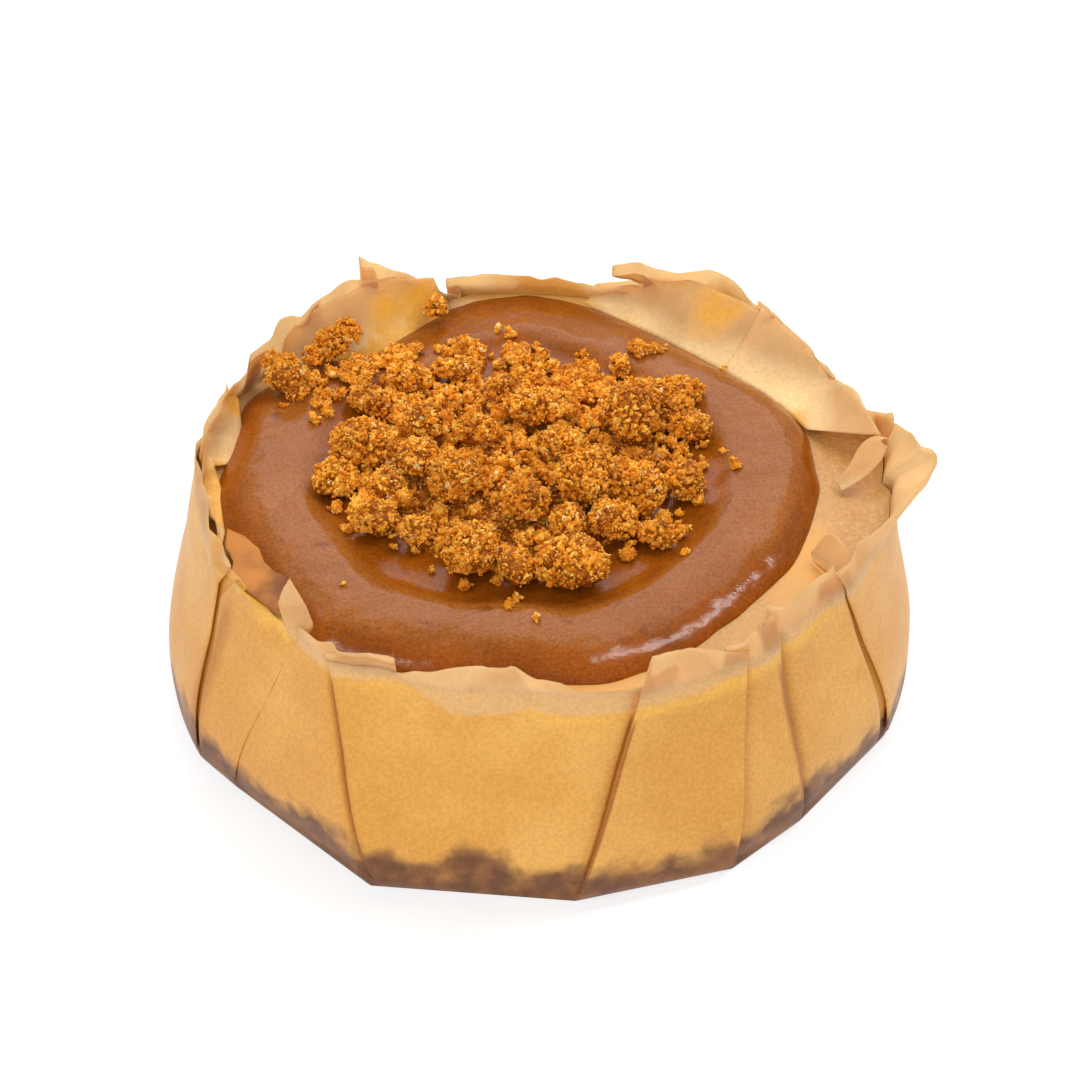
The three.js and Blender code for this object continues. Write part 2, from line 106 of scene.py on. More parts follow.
world = bpy.data.worlds.new("white_room")
scene.world = world
world.use_nodes = True
world.node_tree.nodes["Background"].inputs["Color"].default_value = (1, 1, 1, 1)
world.node_tree.nodes["Background"].inputs["Strength"].default_value = SKY_STRENGTH
scene.view_settings.view_transform = "Standard"
scene.view_settings.look = "None"


def add_lamp(name, place, width, tall, power, mirrored=True):
    """A soft lamp at a place in millimetres, turned towards the cake."""
    lamp = bpy.data.objects.new(name, bpy.data.lights.new(name, "AREA"))
    lamp.data.shape = "RECTANGLE"
    lamp.data.size = width * MM
    lamp.data.size_y = tall * MM
    lamp.data.energy = power
    lamp.visible_glossy = mirrored
    lamp.location = Vector(place) * MM
    lamp.rotation_euler = (LOOK_AT - lamp.location).to_track_quat("-Z", "Y").to_euler()
    scene.collection.objects.link(lamp)
    print(f"{name}: {power} W")


add_lamp("backdrop", (0, 500, 515), 620, 470, 1.35)
add_lamp("lamp_back", (0, 600, 200), 400, 400, 1.5, mirrored=False)
add_lamp("lamp_left", (-180, 300, 540), 400, 400, 1.0, mirrored=False)
add_lamp("lamp_right", (290, 90, 530), 42, 420, 1.5)
add_lamp("lamp_glints", (-300, -215, 540), 70, 160, 0.45)
add_lamp("lamp_front", (-120, -520, 360), 400, 400, 1.38, mirrored=False)

# %% Floor
FLOOR_SIZE = 6000

bpy.ops.mesh.primitive_plane_add(size=FLOOR_SIZE * MM)
floor = bpy.context.object
floor.name = "floor"
floor_paint = bpy.data.materials.new("white_floor")
floor_paint.use_nodes = True
floor_finish = {
    "Base Color": (0.35, 0.35, 0.35, 1),
    "Roughness": 0.8,
    "Emission Color": (1, 1, 1, 1),
    "Emission Strength": 0.7,
}
for label, value in floor_finish.items():
    floor_paint.node_tree.nodes["Principled BSDF"].inputs[label].default_value = value
floor.data.materials.append(floor_paint)
print("floor of", FLOOR_SIZE, "mm")

# %% [markdown]
# Small tools
#
# Most pieces are made from rings of points, so a few helpers are shared: smooth steps, hills over an
# angle, a repeatable noise, points round the middle, and functions that turn points and faces into a
# piece of the cake.


# %% Numbers
def smooth(x):
    """0 below 0, 1 above 1 and an even rise between."""
    t = np.clip(x, 0, 1)
    return t * t * (3 - 2 * t)


def mix(a, b, t):
    return a + (b - a) * t


def hill(angle, middle, width, power=2):
    """1 at the middle angle, falling to 0 beside it, in degrees."""
    apart = (np.asarray(angle) - middle + 180) % 360 - 180
    return np.exp(-(np.abs(apart / width) ** power))


def wobble(points, size, seed=0):
    """Noise from -1 to 1 at points in millimetres, in waves about as long as size."""
    shift = Vector((seed * 17.3, seed * -9.1, seed * 5.7))
    waves = [noise.noise(Vector(p) / size + shift) for p in np.reshape(points, (-1, 3)).tolist()]
    return np.reshape(waves, np.shape(points)[:-1])


def standing(angle, radius, z):
    """Points from angles in degrees, radii and heights."""
    a = np.radians(angle)
    return np.stack([radius * np.cos(a), radius * np.sin(a), z + 0 * a], -1)


print("a smooth step at a quarter of its way:", round(float(smooth(0.25)), 3))


# %% Meshes
def make_piece(name, points, faces, material, slot=None, flat=False):
    """A mesh from points in millimetres, riding on the part's one body."""
    mesh = bpy.data.meshes.new(name)
    mesh.from_pydata((np.reshape(points, (-1, 3)) * MM).tolist(), [], faces)
    mesh.update()
    mesh.materials.append(material)
    if not flat:
        mesh.shade_smooth()
    piece = bpy.data.objects.new(name, mesh)
    scene.collection.objects.link(piece)
    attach(piece, "root")
    print(f"{name}: {len(mesh.vertices)} points, {len(mesh.polygons)} faces")
    return piece


def band_faces(rows, columns, closed=True):
    """Four-sided faces between rows of points; closed joins each row's end to its start."""
    r = np.arange(rows - 1)[:, None] * columns
    c = np.arange(columns if closed else columns - 1)[None, :]
    after = (c + 1) % columns
    return np.stack([r + c, r + after, r + columns + after, r + columns + c], -1).reshape(-1, 4).tolist()


def piece_of_rings(name, rings, material, slot):
    """A closed piece from a stack of rings, with a flat face at the first and one at the last."""
    count, columns = len(rings), len(rings[0])
    first = list(range(columns))[::-1]
    last = [(count - 1) * columns + c for c in range(columns)]
    return make_piece(name, rings, [*band_faces(count, columns), first, last], material, slot)


def joined(shapes, triangles):
    """Points and faces of many shapes that have the same triangles, as one."""
    starts = np.arange(len(shapes)) * len(shapes[0])
    return np.concatenate(shapes), (triangles + starts[:, None, None]).reshape(-1, 3).tolist()


print("faces of a closed band of 2 rows and 8 columns:", len(band_faces(2, 8)))

# %% [markdown]
# Nodes
#
# Materials are networks of nodes. This small class adds a node, mixes two colours and turns a value into
# a mask, in a material or in a node group, so that each material below reads as a short recipe.

# %% Nodes
# Numbers of the Mix node's sockets for colours, which share their names with those for values.
MIX_FACTOR, MIX_A, MIX_B, MIX_RESULT = 0, 6, 7, 2


class Nodes:
    """The nodes of a material or a group; place is the point on the cake, in metres."""

    def __init__(self, tree, place=None):
        self.tree, self.place = tree, place

    def add(self, kind, inputs, **settings):
        """A new node; inputs are numbers, colours, or the output sockets that feed them."""
        made = self.tree.nodes.new(kind)
        for name, value in settings.items():
            setattr(made, name, value)
        for name, value in inputs.items():
            if isinstance(value, bpy.types.NodeSocket):
                self.tree.links.new(value, made.inputs[name])
            else:
                made.inputs[name].default_value = value
        return made

    def mix(self, factor, a, b, way="MIX"):
        """The colour a where factor is 0 and b where it is 1."""
        inputs = {MIX_FACTOR: factor, MIX_A: a, MIX_B: b}
        return self.add("ShaderNodeMix", inputs, data_type="RGBA", blend_type=way).outputs[MIX_RESULT]

    def rise(self, value, low, high):
        """A mask that rises smoothly from 0 at low to 1 at high."""
        inputs = {"Value": value, "From Min": low, "From Max": high}
        return self.add("ShaderNodeMapRange", inputs, interpolation_type="SMOOTHSTEP").outputs["Result"]

    def reckon(self, operation, a, b=0.0):
        return self.add("ShaderNodeMath", {0: a, 1: b}, operation=operation).outputs["Value"]

    def plus(self, a, b):
        return self.reckon("ADD", a, b)

    def minus(self, a, b):
        return self.reckon("SUBTRACT", a, b)

    def times(self, a, b):
        return self.reckon("MULTIPLY", a, b)

    def larger(self, a, b):
        return self.reckon("MAXIMUM", a, b)

    def axes(self):
        """The place's X, Y and Z."""
        return self.add("ShaderNodeSeparateXYZ", {"Vector": self.place}).outputs

    def stretched(self, scale):
        """The place with its axes scaled, which draws a texture out along the axis with the least."""
        return self.add("ShaderNodeMapping", {"Vector": self.place, "Scale": scale}).outputs["Vector"]

    def cloud(self, scale, detail=3.0, place=None):
        """A soft noise from 0 to 1."""
        inputs = {"Vector": place or self.place, "Scale": scale, "Detail": detail}
        return self.add("ShaderNodeTexNoise", inputs).outputs["Fac"]


# %% [markdown]
# Two effects that several materials share
#
# "Soft patches" is a slow noise turned into a mask: baked cream, paper and caramel are all a little
# uneven in colour. "Grit" is a field of small rounded cells, each with its own random value, as packed
# crumbs and sugar have. Both are node groups, built once and placed in each material with its own values.


# %% Shared node groups
def new_group(name, inputs, outputs):
    """A group's nodes and two ends; it has a place, float inputs (name: default) and float outputs."""
    group = bpy.data.node_groups.new(name, "ShaderNodeTree")
    group.interface.new_socket("Place", in_out="INPUT", socket_type="NodeSocketVector")
    for label, default in inputs.items():
        socket = group.interface.new_socket(label, in_out="INPUT", socket_type="NodeSocketFloat")
        socket.default_value = default
    for label in outputs:
        group.interface.new_socket(label, in_out="OUTPUT", socket_type="NodeSocketFloat")
    start, end = group.nodes.new("NodeGroupInput"), group.nodes.new("NodeGroupOutput")
    return Nodes(group, start.outputs["Place"]), start.outputs, end.inputs


def make_soft_patches():
    nodes, start, end = new_group("soft_patches", {"Scale": 100, "Low": 0.4, "High": 0.6}, ["Mask"])
    mask = nodes.rise(nodes.cloud(start["Scale"]), start["Low"], start["High"])
    nodes.tree.links.new(mask, end["Mask"])
    return nodes.tree


def make_grit():
    nodes, start, end = new_group("grit", {"Scale": 1500}, ["Random", "Height"])
    cells = nodes.add("ShaderNodeTexVoronoi", {"Vector": nodes.place, "Scale": start["Scale"]}).outputs
    split = nodes.add("ShaderNodeSeparateColor", {"Color": cells["Color"]})
    nodes.tree.links.new(split.outputs["Red"], end["Random"])
    nodes.tree.links.new(nodes.minus(1.0, cells["Distance"]), end["Height"])
    return nodes.tree


SOFT_PATCHES = make_soft_patches()
GRIT = make_grit()
print("node groups:", SOFT_PATCHES.name, GRIT.name)

# %% [markdown]
# What all the materials share
#
# Each finish of the cake is one Principled shader with fixed settings, a colour that changes over the
# surface, and a bump for what is too small to model. This class holds these steps, so that each finish
# below says only what is its own.


# %% Materials
class Finish(Nodes):
    """A material in the making; constants are settings of its Principled shader."""

    def __init__(self, name, constants):
        self.material = bpy.data.materials.new(name)
        self.material.use_nodes = True
        super().__init__(self.material.node_tree)
        self.place = self.add("ShaderNodeTexCoord", {}).outputs["Object"]
        self.shader = self.tree.nodes["Principled BSDF"]
        for label, value in constants.items():
            self.shader.inputs[label].default_value = value

    def group(self, group, inputs):
        """A shared group, placed in this material."""
        return self.add("ShaderNodeGroup", {"Place": self.place, **inputs}, node_tree=group).outputs

    def patches(self, scale, low, high, place=None):
        """The mask of the soft patches; they begin where the noise is over low."""
        inputs = {"Place": place or self.place, "Scale": scale, "Low": low, "High": high}
        return self.group(SOFT_PATCHES, inputs)["Mask"]

    def mottle(self, scale, low, high, a, b):
        """The colour a with soft patches of b."""
        return self.mix(self.patches(scale, low, high), a, b)

    def show(self, paint, relief, depth, strength=1.0):
        """The material, with its colour and a bump that is depth millimetres high."""
        self.tree.links.new(paint, self.shader.inputs["Base Color"])
        bump = self.add("ShaderNodeBump", {"Height": relief, "Distance": depth * MM, "Strength": strength})
        self.tree.links.new(bump.outputs["Normal"], self.shader.inputs["Normal"])
        print("material", self.material.name)
        return self.material


# %% [markdown]
# Baking paper, the material
#
# The paper is waxy and lets light through, so what we see on the wall is mostly the cake behind it:
# a dark, ragged band where the biscuit base presses against it, amber where the cream sticks, and pale
# tan above the cake, where nothing is behind it. Stained colours by height, with noise on every border,
# give that more surely than true see-through paper would. Only the free rim really passes light. A few
# creases are painted darker: fat has soaked into them, and the darker colour is also painted shade in
# the fold. Fat has soaked into parts of the rim, which are yellow. The leaves that lie over the cream
# are painted paler, a painted glow for the light behind them; the one that lies on the spread has
# taken it up.

# %% Paper colours and stains
BASE_TOP = 6.2
CAKE_TOP = 30.6
RIM_HEIGHT = 34

PAPER_AMBER = colour(222, 157, 70)
PAPER_AMBER_LIGHT = colour(232, 173, 88)
PAPER_BISCUIT = colour(112, 70, 44)
PAPER_BISCUIT_LIGHT = colour(146, 96, 56)
PAPER_PALE = colour(230, 188, 138)
PAPER_PALE_LIGHT = colour(242, 206, 160)
PAPER_LOW = colour(224, 174, 112)
PAPER_STAINED = colour(250, 184, 36)
PAPER_LINE = colour(240, 180, 80)
# Painted glow: leaves made paler to stand in for the light shining through them from behind.
PAPER_BACKLIT = colour(255, 228, 170)
# Painted darker for the creases: fat stain there, and painted shade in the fold.
PAPER_CREASE_STAIN_AND_SHADE = colour(162, 86, 18)
PAPER_ON_SPREAD = colour(120, 62, 14)
PAPER_ON_SPREAD_LIGHT = colour(188, 118, 38)
FIBRE_DARK = (0.92, 0.91, 0.88, 1)
FIBRE_LIGHT = (1.06, 1.06, 1.06, 1)
# Oily stains near the rim: x, y, z of the middle and radius.
STAINS = [
    [-22.5, 36.8, 33.2, 7],
    [-17, 40, 33.8, 7],
    [24, 36, 33.8, 7],
    [1, 44, 31.5, 10],
    [-41.5, 16.5, 33, 5],
    [-39.5, -18, 31.5, 9],
    [-35, -24.5, 32.5, 9],
    [-45, 2, 31, 6],
]
# Where the cake's edge lies lower against the paper, in the same columns, and how much lower.
DIPS = [
    [-7, -45.5, 30.5, 12],
    [5, -45.5, 30, 13],
]
DIP_DEPTH = 2.4
# Creases painted darker, for fat soaked into them and as painted shade in the fold: angle at the foot and
# at the rim, half width in degrees, strength.
CREASE_STAIN_AND_SHADE = [
    [-116.6, -126.4, 1.6, 1.0],
    [-84.4, -73.5, 0.6, 0.9],
    [-42.4, -49, 1.1, 0.8],
    [-58.2, -55, 0.5, 0.4],
    [-160, -150.5, 3.2, 0.5],
]
print("biscuit band up to", BASE_TOP, "mm, cream up to", CAKE_TOP, "mm")


# %% Masks on the paper
# Share of a spot's radius that is fully covered, and how far its border wanders in millimetres.
SPOT_CORE = 0.4
SPOT_UNEVEN = 2.5


def height_of(nodes):
    """The height over the floor in millimetres."""
    return nodes.reckon("DIVIDE", nodes.axes()["Z"], MM)


def near(nodes, spots):
    """A mask that is 1 in the core of each of the spots and 0 outside them."""
    mask = 0.0
    uneven = nodes.times(nodes.rise(nodes.cloud(180.0), 0.3, 0.7), SPOT_UNEVEN * MM)
    for x, y, z, radius in spots:
        inputs = {0: nodes.place, 1: (x * MM, y * MM, z * MM)}
        apart = nodes.add("ShaderNodeVectorMath", inputs, operation="DISTANCE").outputs["Value"]
        spot = nodes.rise(nodes.plus(apart, uneven), radius * MM, SPOT_CORE * radius * MM)
        mask = nodes.larger(mask, spot)
    return mask


def crease_stain_and_shade(nodes, height):
    """A mask along the creases that are painted darker: fat soaked into them, and painted shade in the
    fold.
    """
    axes = nodes.axes()
    angle = nodes.reckon("DEGREES", nodes.reckon("ARCTAN2", axes["Y"], axes["X"]))
    mask = 0.0
    for foot, rim, half_width, strength in CREASE_STAIN_AND_SHADE:
        crease = nodes.plus(nodes.times(height, (rim - foot) / RIM_HEIGHT), foot)
        apart = nodes.reckon("ABSOLUTE", nodes.minus(angle, crease))
        mask = nodes.larger(mask, nodes.times(nodes.rise(apart, half_width, 0), strength))
    return nodes.times(mask, nodes.rise(height, CAKE_TOP + 1, CAKE_TOP - 4))


# %% The paper's colour by height
# The biscuit band's uneven top and its blur, and how far cream and oil creep up the paper.
BAND_DRIFT = 3.0
BAND_LUMPS = 2.8
BAND_LOW = BASE_TOP - 3.4
BAND_BLUR = 2.2
CREAM_CREEP = 1.8
OIL_CREEP = 2.0
OIL_STRENGTH = 0.85


def paper_colour(nodes, height, oily, backlit):
    """Colour by height: biscuit, cream with creases painted darker, the bright line of the cake's edge,
    bare paper with stains, and a painted glow where it is backlit.
    """
    drift = nodes.times(nodes.patches(90, 0.3, 0.7), BAND_DRIFT)
    lumpy = nodes.times(nodes.patches(190, 0.35, 0.7), BAND_LUMPS)
    base_top = nodes.plus(nodes.plus(drift, lumpy), BAND_LOW)
    biscuit = nodes.mottle(300, 0.35, 0.7, PAPER_BISCUIT, PAPER_BISCUIT_LIGHT)
    amber = nodes.mottle(70, 0.35, 0.7, PAPER_AMBER, PAPER_AMBER_LIGHT)
    # Creases painted darker: fat stain, and painted shade in the fold.
    amber = nodes.mix(crease_stain_and_shade(nodes, height), amber, PAPER_CREASE_STAIN_AND_SHADE)
    stained = nodes.mix(nodes.rise(nodes.minus(height, base_top), -BAND_BLUR, BAND_BLUR), biscuit, amber)
    creep = nodes.times(nodes.patches(70, 0.3, 0.7), CREAM_CREEP)
    creep = nodes.plus(creep, nodes.times(oily, OIL_CREEP))
    creep = nodes.minus(creep, nodes.times(near(nodes, DIPS), DIP_DEPTH))
    edge = nodes.minus(height, creep)
    bright = nodes.rise(edge, CAKE_TOP - 2.8, CAKE_TOP - 0.8)
    line = nodes.mix(nodes.times(bright, nodes.patches(60, 0.42, 0.65)), stained, PAPER_LINE)
    bare = nodes.mottle(160, 0.4, 0.65, PAPER_PALE, PAPER_PALE_LIGHT)
    bare = nodes.mix(nodes.rise(height, CAKE_TOP + 0.8, CAKE_TOP + 3.2), PAPER_LOW, bare)
    # Painted glow: backlit paper is mixed towards a paler colour for the light behind it.
    bare = nodes.mix(backlit, bare, PAPER_BACKLIT)
    bare = nodes.mix(nodes.times(oily, OIL_STRENGTH), bare, PAPER_STAINED)
    shown = nodes.mix(nodes.rise(edge, CAKE_TOP - 0.6, CAKE_TOP + 0.4), line, bare)
    fibres = nodes.mix(nodes.rise(nodes.patches(2000, 0.25, 0.75), 0, 1), FIBRE_DARK, FIBRE_LIGHT)
    return nodes.mix(1.0, shown, fibres, "MULTIPLY")


# %% Paper materials
CREASE_SHARE = 4.0
# Heights between which the paper comes free of the cake and lets light through, and how much of it.
FREE_LOW, FREE_HIGH = CAKE_TOP + 0.8, CAKE_TOP + 3.5
RIM_LIGHT = 0.65
LYING_LIGHT = 0.1
OIL_SHADE = 0.5
RIM_GLOW = colour(252, 232, 192)


def make_paper(name, darker=1.0, backlit=0.0, on_spread=False):
    """Paper over the cake, or on the spread; only its free rim passes light."""
    nodes = Finish(name, {"Roughness": 0.42, "Specular IOR Level": 0.25})
    height = height_of(nodes)
    oily = near(nodes, STAINS)
    if on_spread:
        stain = nodes.mottle(130, 0.35, 0.65, PAPER_ON_SPREAD, PAPER_ON_SPREAD_LIGHT)
    else:
        stain = paper_colour(nodes, height, oily, backlit)
    if darker < 1:
        stain = nodes.mix(1.0, stain, (darker, darker**1.3, darker**2, 1), "MULTIPLY")
    creases = nodes.times(nodes.cloud(170.0, place=nodes.stretched((1, 1, 0.3))), CREASE_SHARE)
    material = nodes.show(stain, nodes.plus(nodes.cloud(700.0, 4.0), creases), 0.05, 0.6)
    through = nodes.add("ShaderNodeBsdfTranslucent", {"Color": RIM_GLOW}).outputs["BSDF"]
    passing = LYING_LIGHT if on_spread else RIM_LIGHT
    free = nodes.times(nodes.rise(height, FREE_LOW, FREE_HIGH), passing)
    free = nodes.times(free, nodes.minus(1.0, nodes.times(oily, OIL_SHADE)))
    both = nodes.add("ShaderNodeMixShader", {0: free, 1: nodes.shader.outputs["BSDF"], 2: through})
    nodes.tree.links.new(both.outputs["Shader"], nodes.tree.nodes["Material Output"].inputs["Surface"])
    return material


paper = make_paper("baking_paper")
paper_edge = make_paper("baking_paper_cut_edge", 0.78)
# The leaves' paper, painted paler as a glow for the light behind them.
paper_leaf = make_paper("baking_paper_leaf", backlit=0.35)
paper_on_spread = make_paper("baking_paper_on_spread", on_spread=True)

# %% [markdown]
# Baking paper, the shape
#
# The tin's round wall forced a flat sheet into a ring, so the paper lies in flat panels with a fold
# between each two, where it turns back on itself and forward again. It could be draped with a cloth
# simulation, but the photograph fixes where each fold lies, so the sheet is drawn: one row of points
# round the case for each height, running zigzag through the folds.

# %% Folds, near those of the part's source
# Angle at the foot, angle at the rim, side (1: the panel before the fold lies outside, -1: the next one),
# lap in degrees, rim height before and after the fold, radius at the foot, radius at the rim.
FOLDS = [
    [12, 14, 1, 5, 35, 37, 50.4, 46],
    [30, 33, 1, 5, 32.2, 34.5, 49, 45.6],
    [52, 50, 1, 5, 36.5, 36.5, 48.5, 46.3],
    [66, 61, 1, 6, 36.8, 33.2, 48, 45.5],
    [98, 107, 1, 2.5, 35.7, 32.5, 48.5, 45.5],
    [120, 123, 1, 2.5, 41.5, 38.5, 48.5, 46],
    [140, 136, 1, 4, 37.2, 38, 48.5, 46],
    [156, 147.5, -1, 5, 38.5, 35.5, 49, 45],
    [170, 165, -1, 5, 36, 35.5, 50.3, 45.2],
    [201.5, 205.2, 1, 4, 36.4, 34, 49, 45.2],
    [202.6, 206, -1, 3, 34, 33.4, 48.8, 45.2],
    [211, 225.5, 1, 3, 32.6, 33.6, 47.2, 44.6],
    [243.4, 234.6, -1, 11, 35, 33.2, 49.2, 46],
    [275.6, 287.5, -1, 5, 32.8, 38.8, 47.2, 46],
    [301.6, 304.8, 1, 4, 34.6, 36, 47.8, 46],
    [317.6, 311, 1, 4, 36.6, 37, 46.4, 45.2],
    [340.8, 326.7, 1, 3.5, 38, 35.5, 47.8, 45],
    [343.4, 327.4, -1, 3, 35.5, 36, 48.4, 45.5],
]
FOOT, RIM, SIDE, LAP, BEFORE, AFTER, FOOT_RADIUS, RIM_RADIUS = np.array(FOLDS).T
# Folds whose free end slants: number of the fold, degrees further round at the cut edge.
SLANTS = {3: 16, 9: 4, 10: 4}
# Folds whose outer edge isn't at the corner of the foot: number of the fold, degrees further round.
FOOT_SHIFTS = {12: 0.8}
# Folds pressed so flat that they hardly show: number of the fold, share of the usual layer spacing.
PRESSED = {9: 0.5, 10: 0.5, 11: 0.34}
# Panels that stay round instead of going flat, by the fold before them.
ROUND_PANELS = [8, 17]
# Places where the rim stands up or leans: middle angle, half width, outward lean, extra height.
LEANS = [
    [357, 12, 6.6, 3],
    [57.5, 6, 0.4, 2.2],
    [70, 7, 0, 1],
    [115, 5, -0.4, 0.4],
    [127.5, 5, 0, 1.3],
    [142, 3, 0, 1.5],
    [158, 5, -0.6, 0.6],
    [222, 5, -0.8, -1],
    [262, 13, 0, 2.8],
]
LEAN_OUT, LEAN_UP = 2, 3
print("folds:", len(FOLDS))


# %% The wall's radius
FREE_FROM = 0.86
LEAN_FROM = 0.8
LEAN_WIDTH = 0.2
BELLY = 1.3
BELLY_TOP = 0.62


def fold_middle(k, v):
    """Angle of a fold's outer edge at the share v of the wall's height."""
    slant = SLANTS.get(k, 0) * max(v - FREE_FROM, 0) / (1 - FREE_FROM)
    return mix(FOOT[k] + FOOT_SHIFTS.get(k, 0), RIM[k], v) + slant


def lean(angle, column):
    return sum(row[column] * hill(angle, row[0], row[1], 3) for row in LEANS)


def corners(v):
    """Angle and radius of every fold at the share v of the wall's height."""
    belly = BELLY * math.sin(math.pi * min(v / BELLY_TOP, 1)) * (1 - v)
    return mix(FOOT, RIM, v), mix(FOOT_RADIUS, RIM_RADIUS, v**1.6) + belly


def wall_radius(angle, v):
    """Radius of the wall's middle layer: flat panels between the folds, rounder towards the rim."""
    angles, radii = corners(v)
    here = np.searchsorted(angles, angle % 360, side="right") - 1
    after = (here + 1) % len(angles)
    span = (angles[after] - angles[here]) % 360
    t = ((angle - angles[here]) % 360) / span
    from_here, to_next = np.radians(span * t), np.radians(span * (1 - t))
    flat = radii[here] * radii[after] * np.sin(np.radians(span))
    flat = flat / (radii[here] * np.sin(from_here) + radii[after] * np.sin(to_next))
    leaning = lean(angle, LEAN_OUT) * smooth((v - LEAN_FROM) / LEAN_WIDTH) ** 1.5
    flatness = np.where(np.isin(here, ROUND_PANELS), 0.1, mix(1, 0.5, v))
    return mix(mix(radii[here], radii[after], t), flat, flatness) + leaning


front_foot, front_rim = (float(wall_radius(np.array([270]), v)[0]) for v in (0, 1))
print(f"radius of the wall at the front: {front_foot:.1f} mm at the foot, {front_rim:.1f} mm at the rim")


# %% The zigzag of a fold
SHEET = 0.1
LAYER = 0.32
TURN = 0.25
LAP_AT_FOOT = 0.55
CLOSED_STEP = 0.12


def fold_path():
    """A fold from its outside in: shares of its lap, turns of its bends, layers."""
    bend = np.radians(np.linspace(0, 180, 5))
    outer = np.stack([0 * bend, np.sin(bend) - 1, 0.5 + 0.5 * np.cos(bend)], -1)
    middle = np.array([[-0.33, -0.33, 0], [-0.67, 0.33, 0]])
    inner = np.stack([0 * bend - 1, 1 - np.sin(bend), 0.5 * np.cos(bend) - 0.5], -1)
    return np.concatenate([outer, middle, inner])


FOLD_PATH = fold_path()


def fold_columns(k, v):
    """Angles and layers of the columns of fold k, in order round the case; it is closed at the foot."""
    lap = LAP[k] * mix(LAP_AT_FOOT, 1, v)
    shares, turns, layers = FOLD_PATH.T
    if SIDE[k] < 0:
        shares, turns, layers = -shares[::-1], -turns[::-1], layers[::-1]
    middle = fold_middle(k, v)
    closed = middle + (np.arange(len(shares)) - (len(shares) - 1) / 2) * CLOSED_STEP
    folded = smooth((v - 0.03) / 0.055)
    return mix(closed, middle + shares * lap + turns * TURN, folded), layers


print("columns of points in a fold:", len(FOLD_PATH))

# %% Panels between folds
PANEL_STEP = 0.7
# Depth of the hollow beside each fold.
HOLLOWS = [0.1, 0.4, 0.6, 0.6, 0.6, 0.6, 0.4, 0.1, 0.1, 0.15, 0.1, 0.0, 1.5, 0.45, 0.4, 1.1, 0.4, 0.2]


def groove(k, apart):
    """Depth of the hollow at an angle from the outer edge of fold k."""
    return HOLLOWS[k] * np.exp(-(((apart - 0.4) / 1.3) ** 2))


def panel(k, after, v, angles, layers, next_angles, next_layers):
    """The columns between fold k and the one after it: angle, layer, rim height and hollow."""
    width = (next_angles[0] - angles[-1]) % 360
    steps = round(max((RIM[after] - RIM[k]) % 360, (FOOT[after] - FOOT[k]) % 360) / PANEL_STEP)
    t = np.arange(1, steps) / steps
    hollow = (SIDE[k] > 0) * groove(k, angles[-1] - fold_middle(k, v) + width * t)
    before_fold = fold_middle(after, v) - next_angles[0] + width * (1 - t)
    hollow = hollow + (SIDE[after] < 0) * groove(after, before_fold)
    layer = mix(layers[-1], next_layers[0], smooth(t))
    return [angles[-1] + width * t, layer, mix(AFTER[k], BEFORE[after], t), hollow]


def sheet_row(v):
    """Angle, layer, rim height and hollow of every column of the sheet at the share v of its height."""
    parts = []
    for k in range(len(FOLDS)):
        after = (k + 1) % len(FOLDS)
        angles, layers = fold_columns(k, v)
        next_angles, next_layers = fold_columns(after, v)
        heights = mix(BEFORE[k], AFTER[k], (1 - layers * SIDE[k]) / 2)
        layers, next_layers = layers * PRESSED.get(k, 1), next_layers * PRESSED.get(after, 1)
        parts.append([angles, layers, heights, 0 * angles])
        parts.append(panel(k, after, v, angles, layers, next_angles, next_layers))
    angle, layer, height, hollow = (np.concatenate(values) for values in zip(*parts))
    return angle, layer * smooth(v / 0.03), height, hollow


print("columns round the case:", len(sheet_row(0)[0]))

# %% [markdown]
# Crinkles
#
# Paper never bends in two directions at once, so it buckles: slow dents on the panels, and sharper waves
# along the free rim, where nothing holds it. The same displacement is asked for by angle and height
# wherever it is needed, so the layers of a fold move together and the cream behind follows the paper.


# %% Crinkles
USUAL_RADIUS = 46
FREE_RIM = 29.5
FREE_RIM_WIDTH = 5


def facets(angle, spacing, seed):
    """Values from -1 to 1 that run straight between creases, some spacing degrees apart."""
    dice = np.random.default_rng(seed)
    count = round(360 / spacing)
    creases = (np.arange(count) + dice.uniform(-0.4, 0.4, count)) * spacing
    return np.interp(angle, creases, dice.uniform(-1, 1, count), period=360)


def crinkle(angle, z):
    """How far the wall is pushed out, in millimetres."""
    round_case = standing(angle, USUAL_RADIUS, 0.6 * z)
    free = smooth((z - FREE_RIM) / FREE_RIM_WIDTH)
    slow = 0.28 * wobble(round_case, 11)
    creased = 0.1 * facets(angle + 0.7 * z, 11, 31) + 0.1 * facets(angle - 0.9 * z, 14, 32)
    rim = 0.5 * wobble(round_case, 7, 2) + 0.75 * facets(angle + 0.9 * (z - 33), 6.5, 33)
    rim = rim + 0.4 * facets(angle - 1.1 * (z - 33), 4, 34)
    return (slow + creased) * smooth(z / 4) + free * rim


def ragged(angle):
    """How much higher the cut edge of the sheet stands than the folds say."""
    return 0.5 * facets(angle, 7, 35) + 0.3 * facets(angle, 2.2, 36)


def sheet_points(v):
    """One row of the sheet's points round the case."""
    angle, layer, height, hollow = sheet_row(v)
    z = v * (height + lean(angle, LEAN_UP) + ragged(angle) * smooth((v - 0.7) / 0.3)) + SHEET / 2
    radius = wall_radius(angle, v) + layer * LAYER - hollow * smooth(v / 0.1) + crinkle(angle, z)
    return standing(angle, radius, z)


print("crinkle at the front of the rim:", round(float(crinkle(270, RIM_HEIGHT)), 2), "mm")


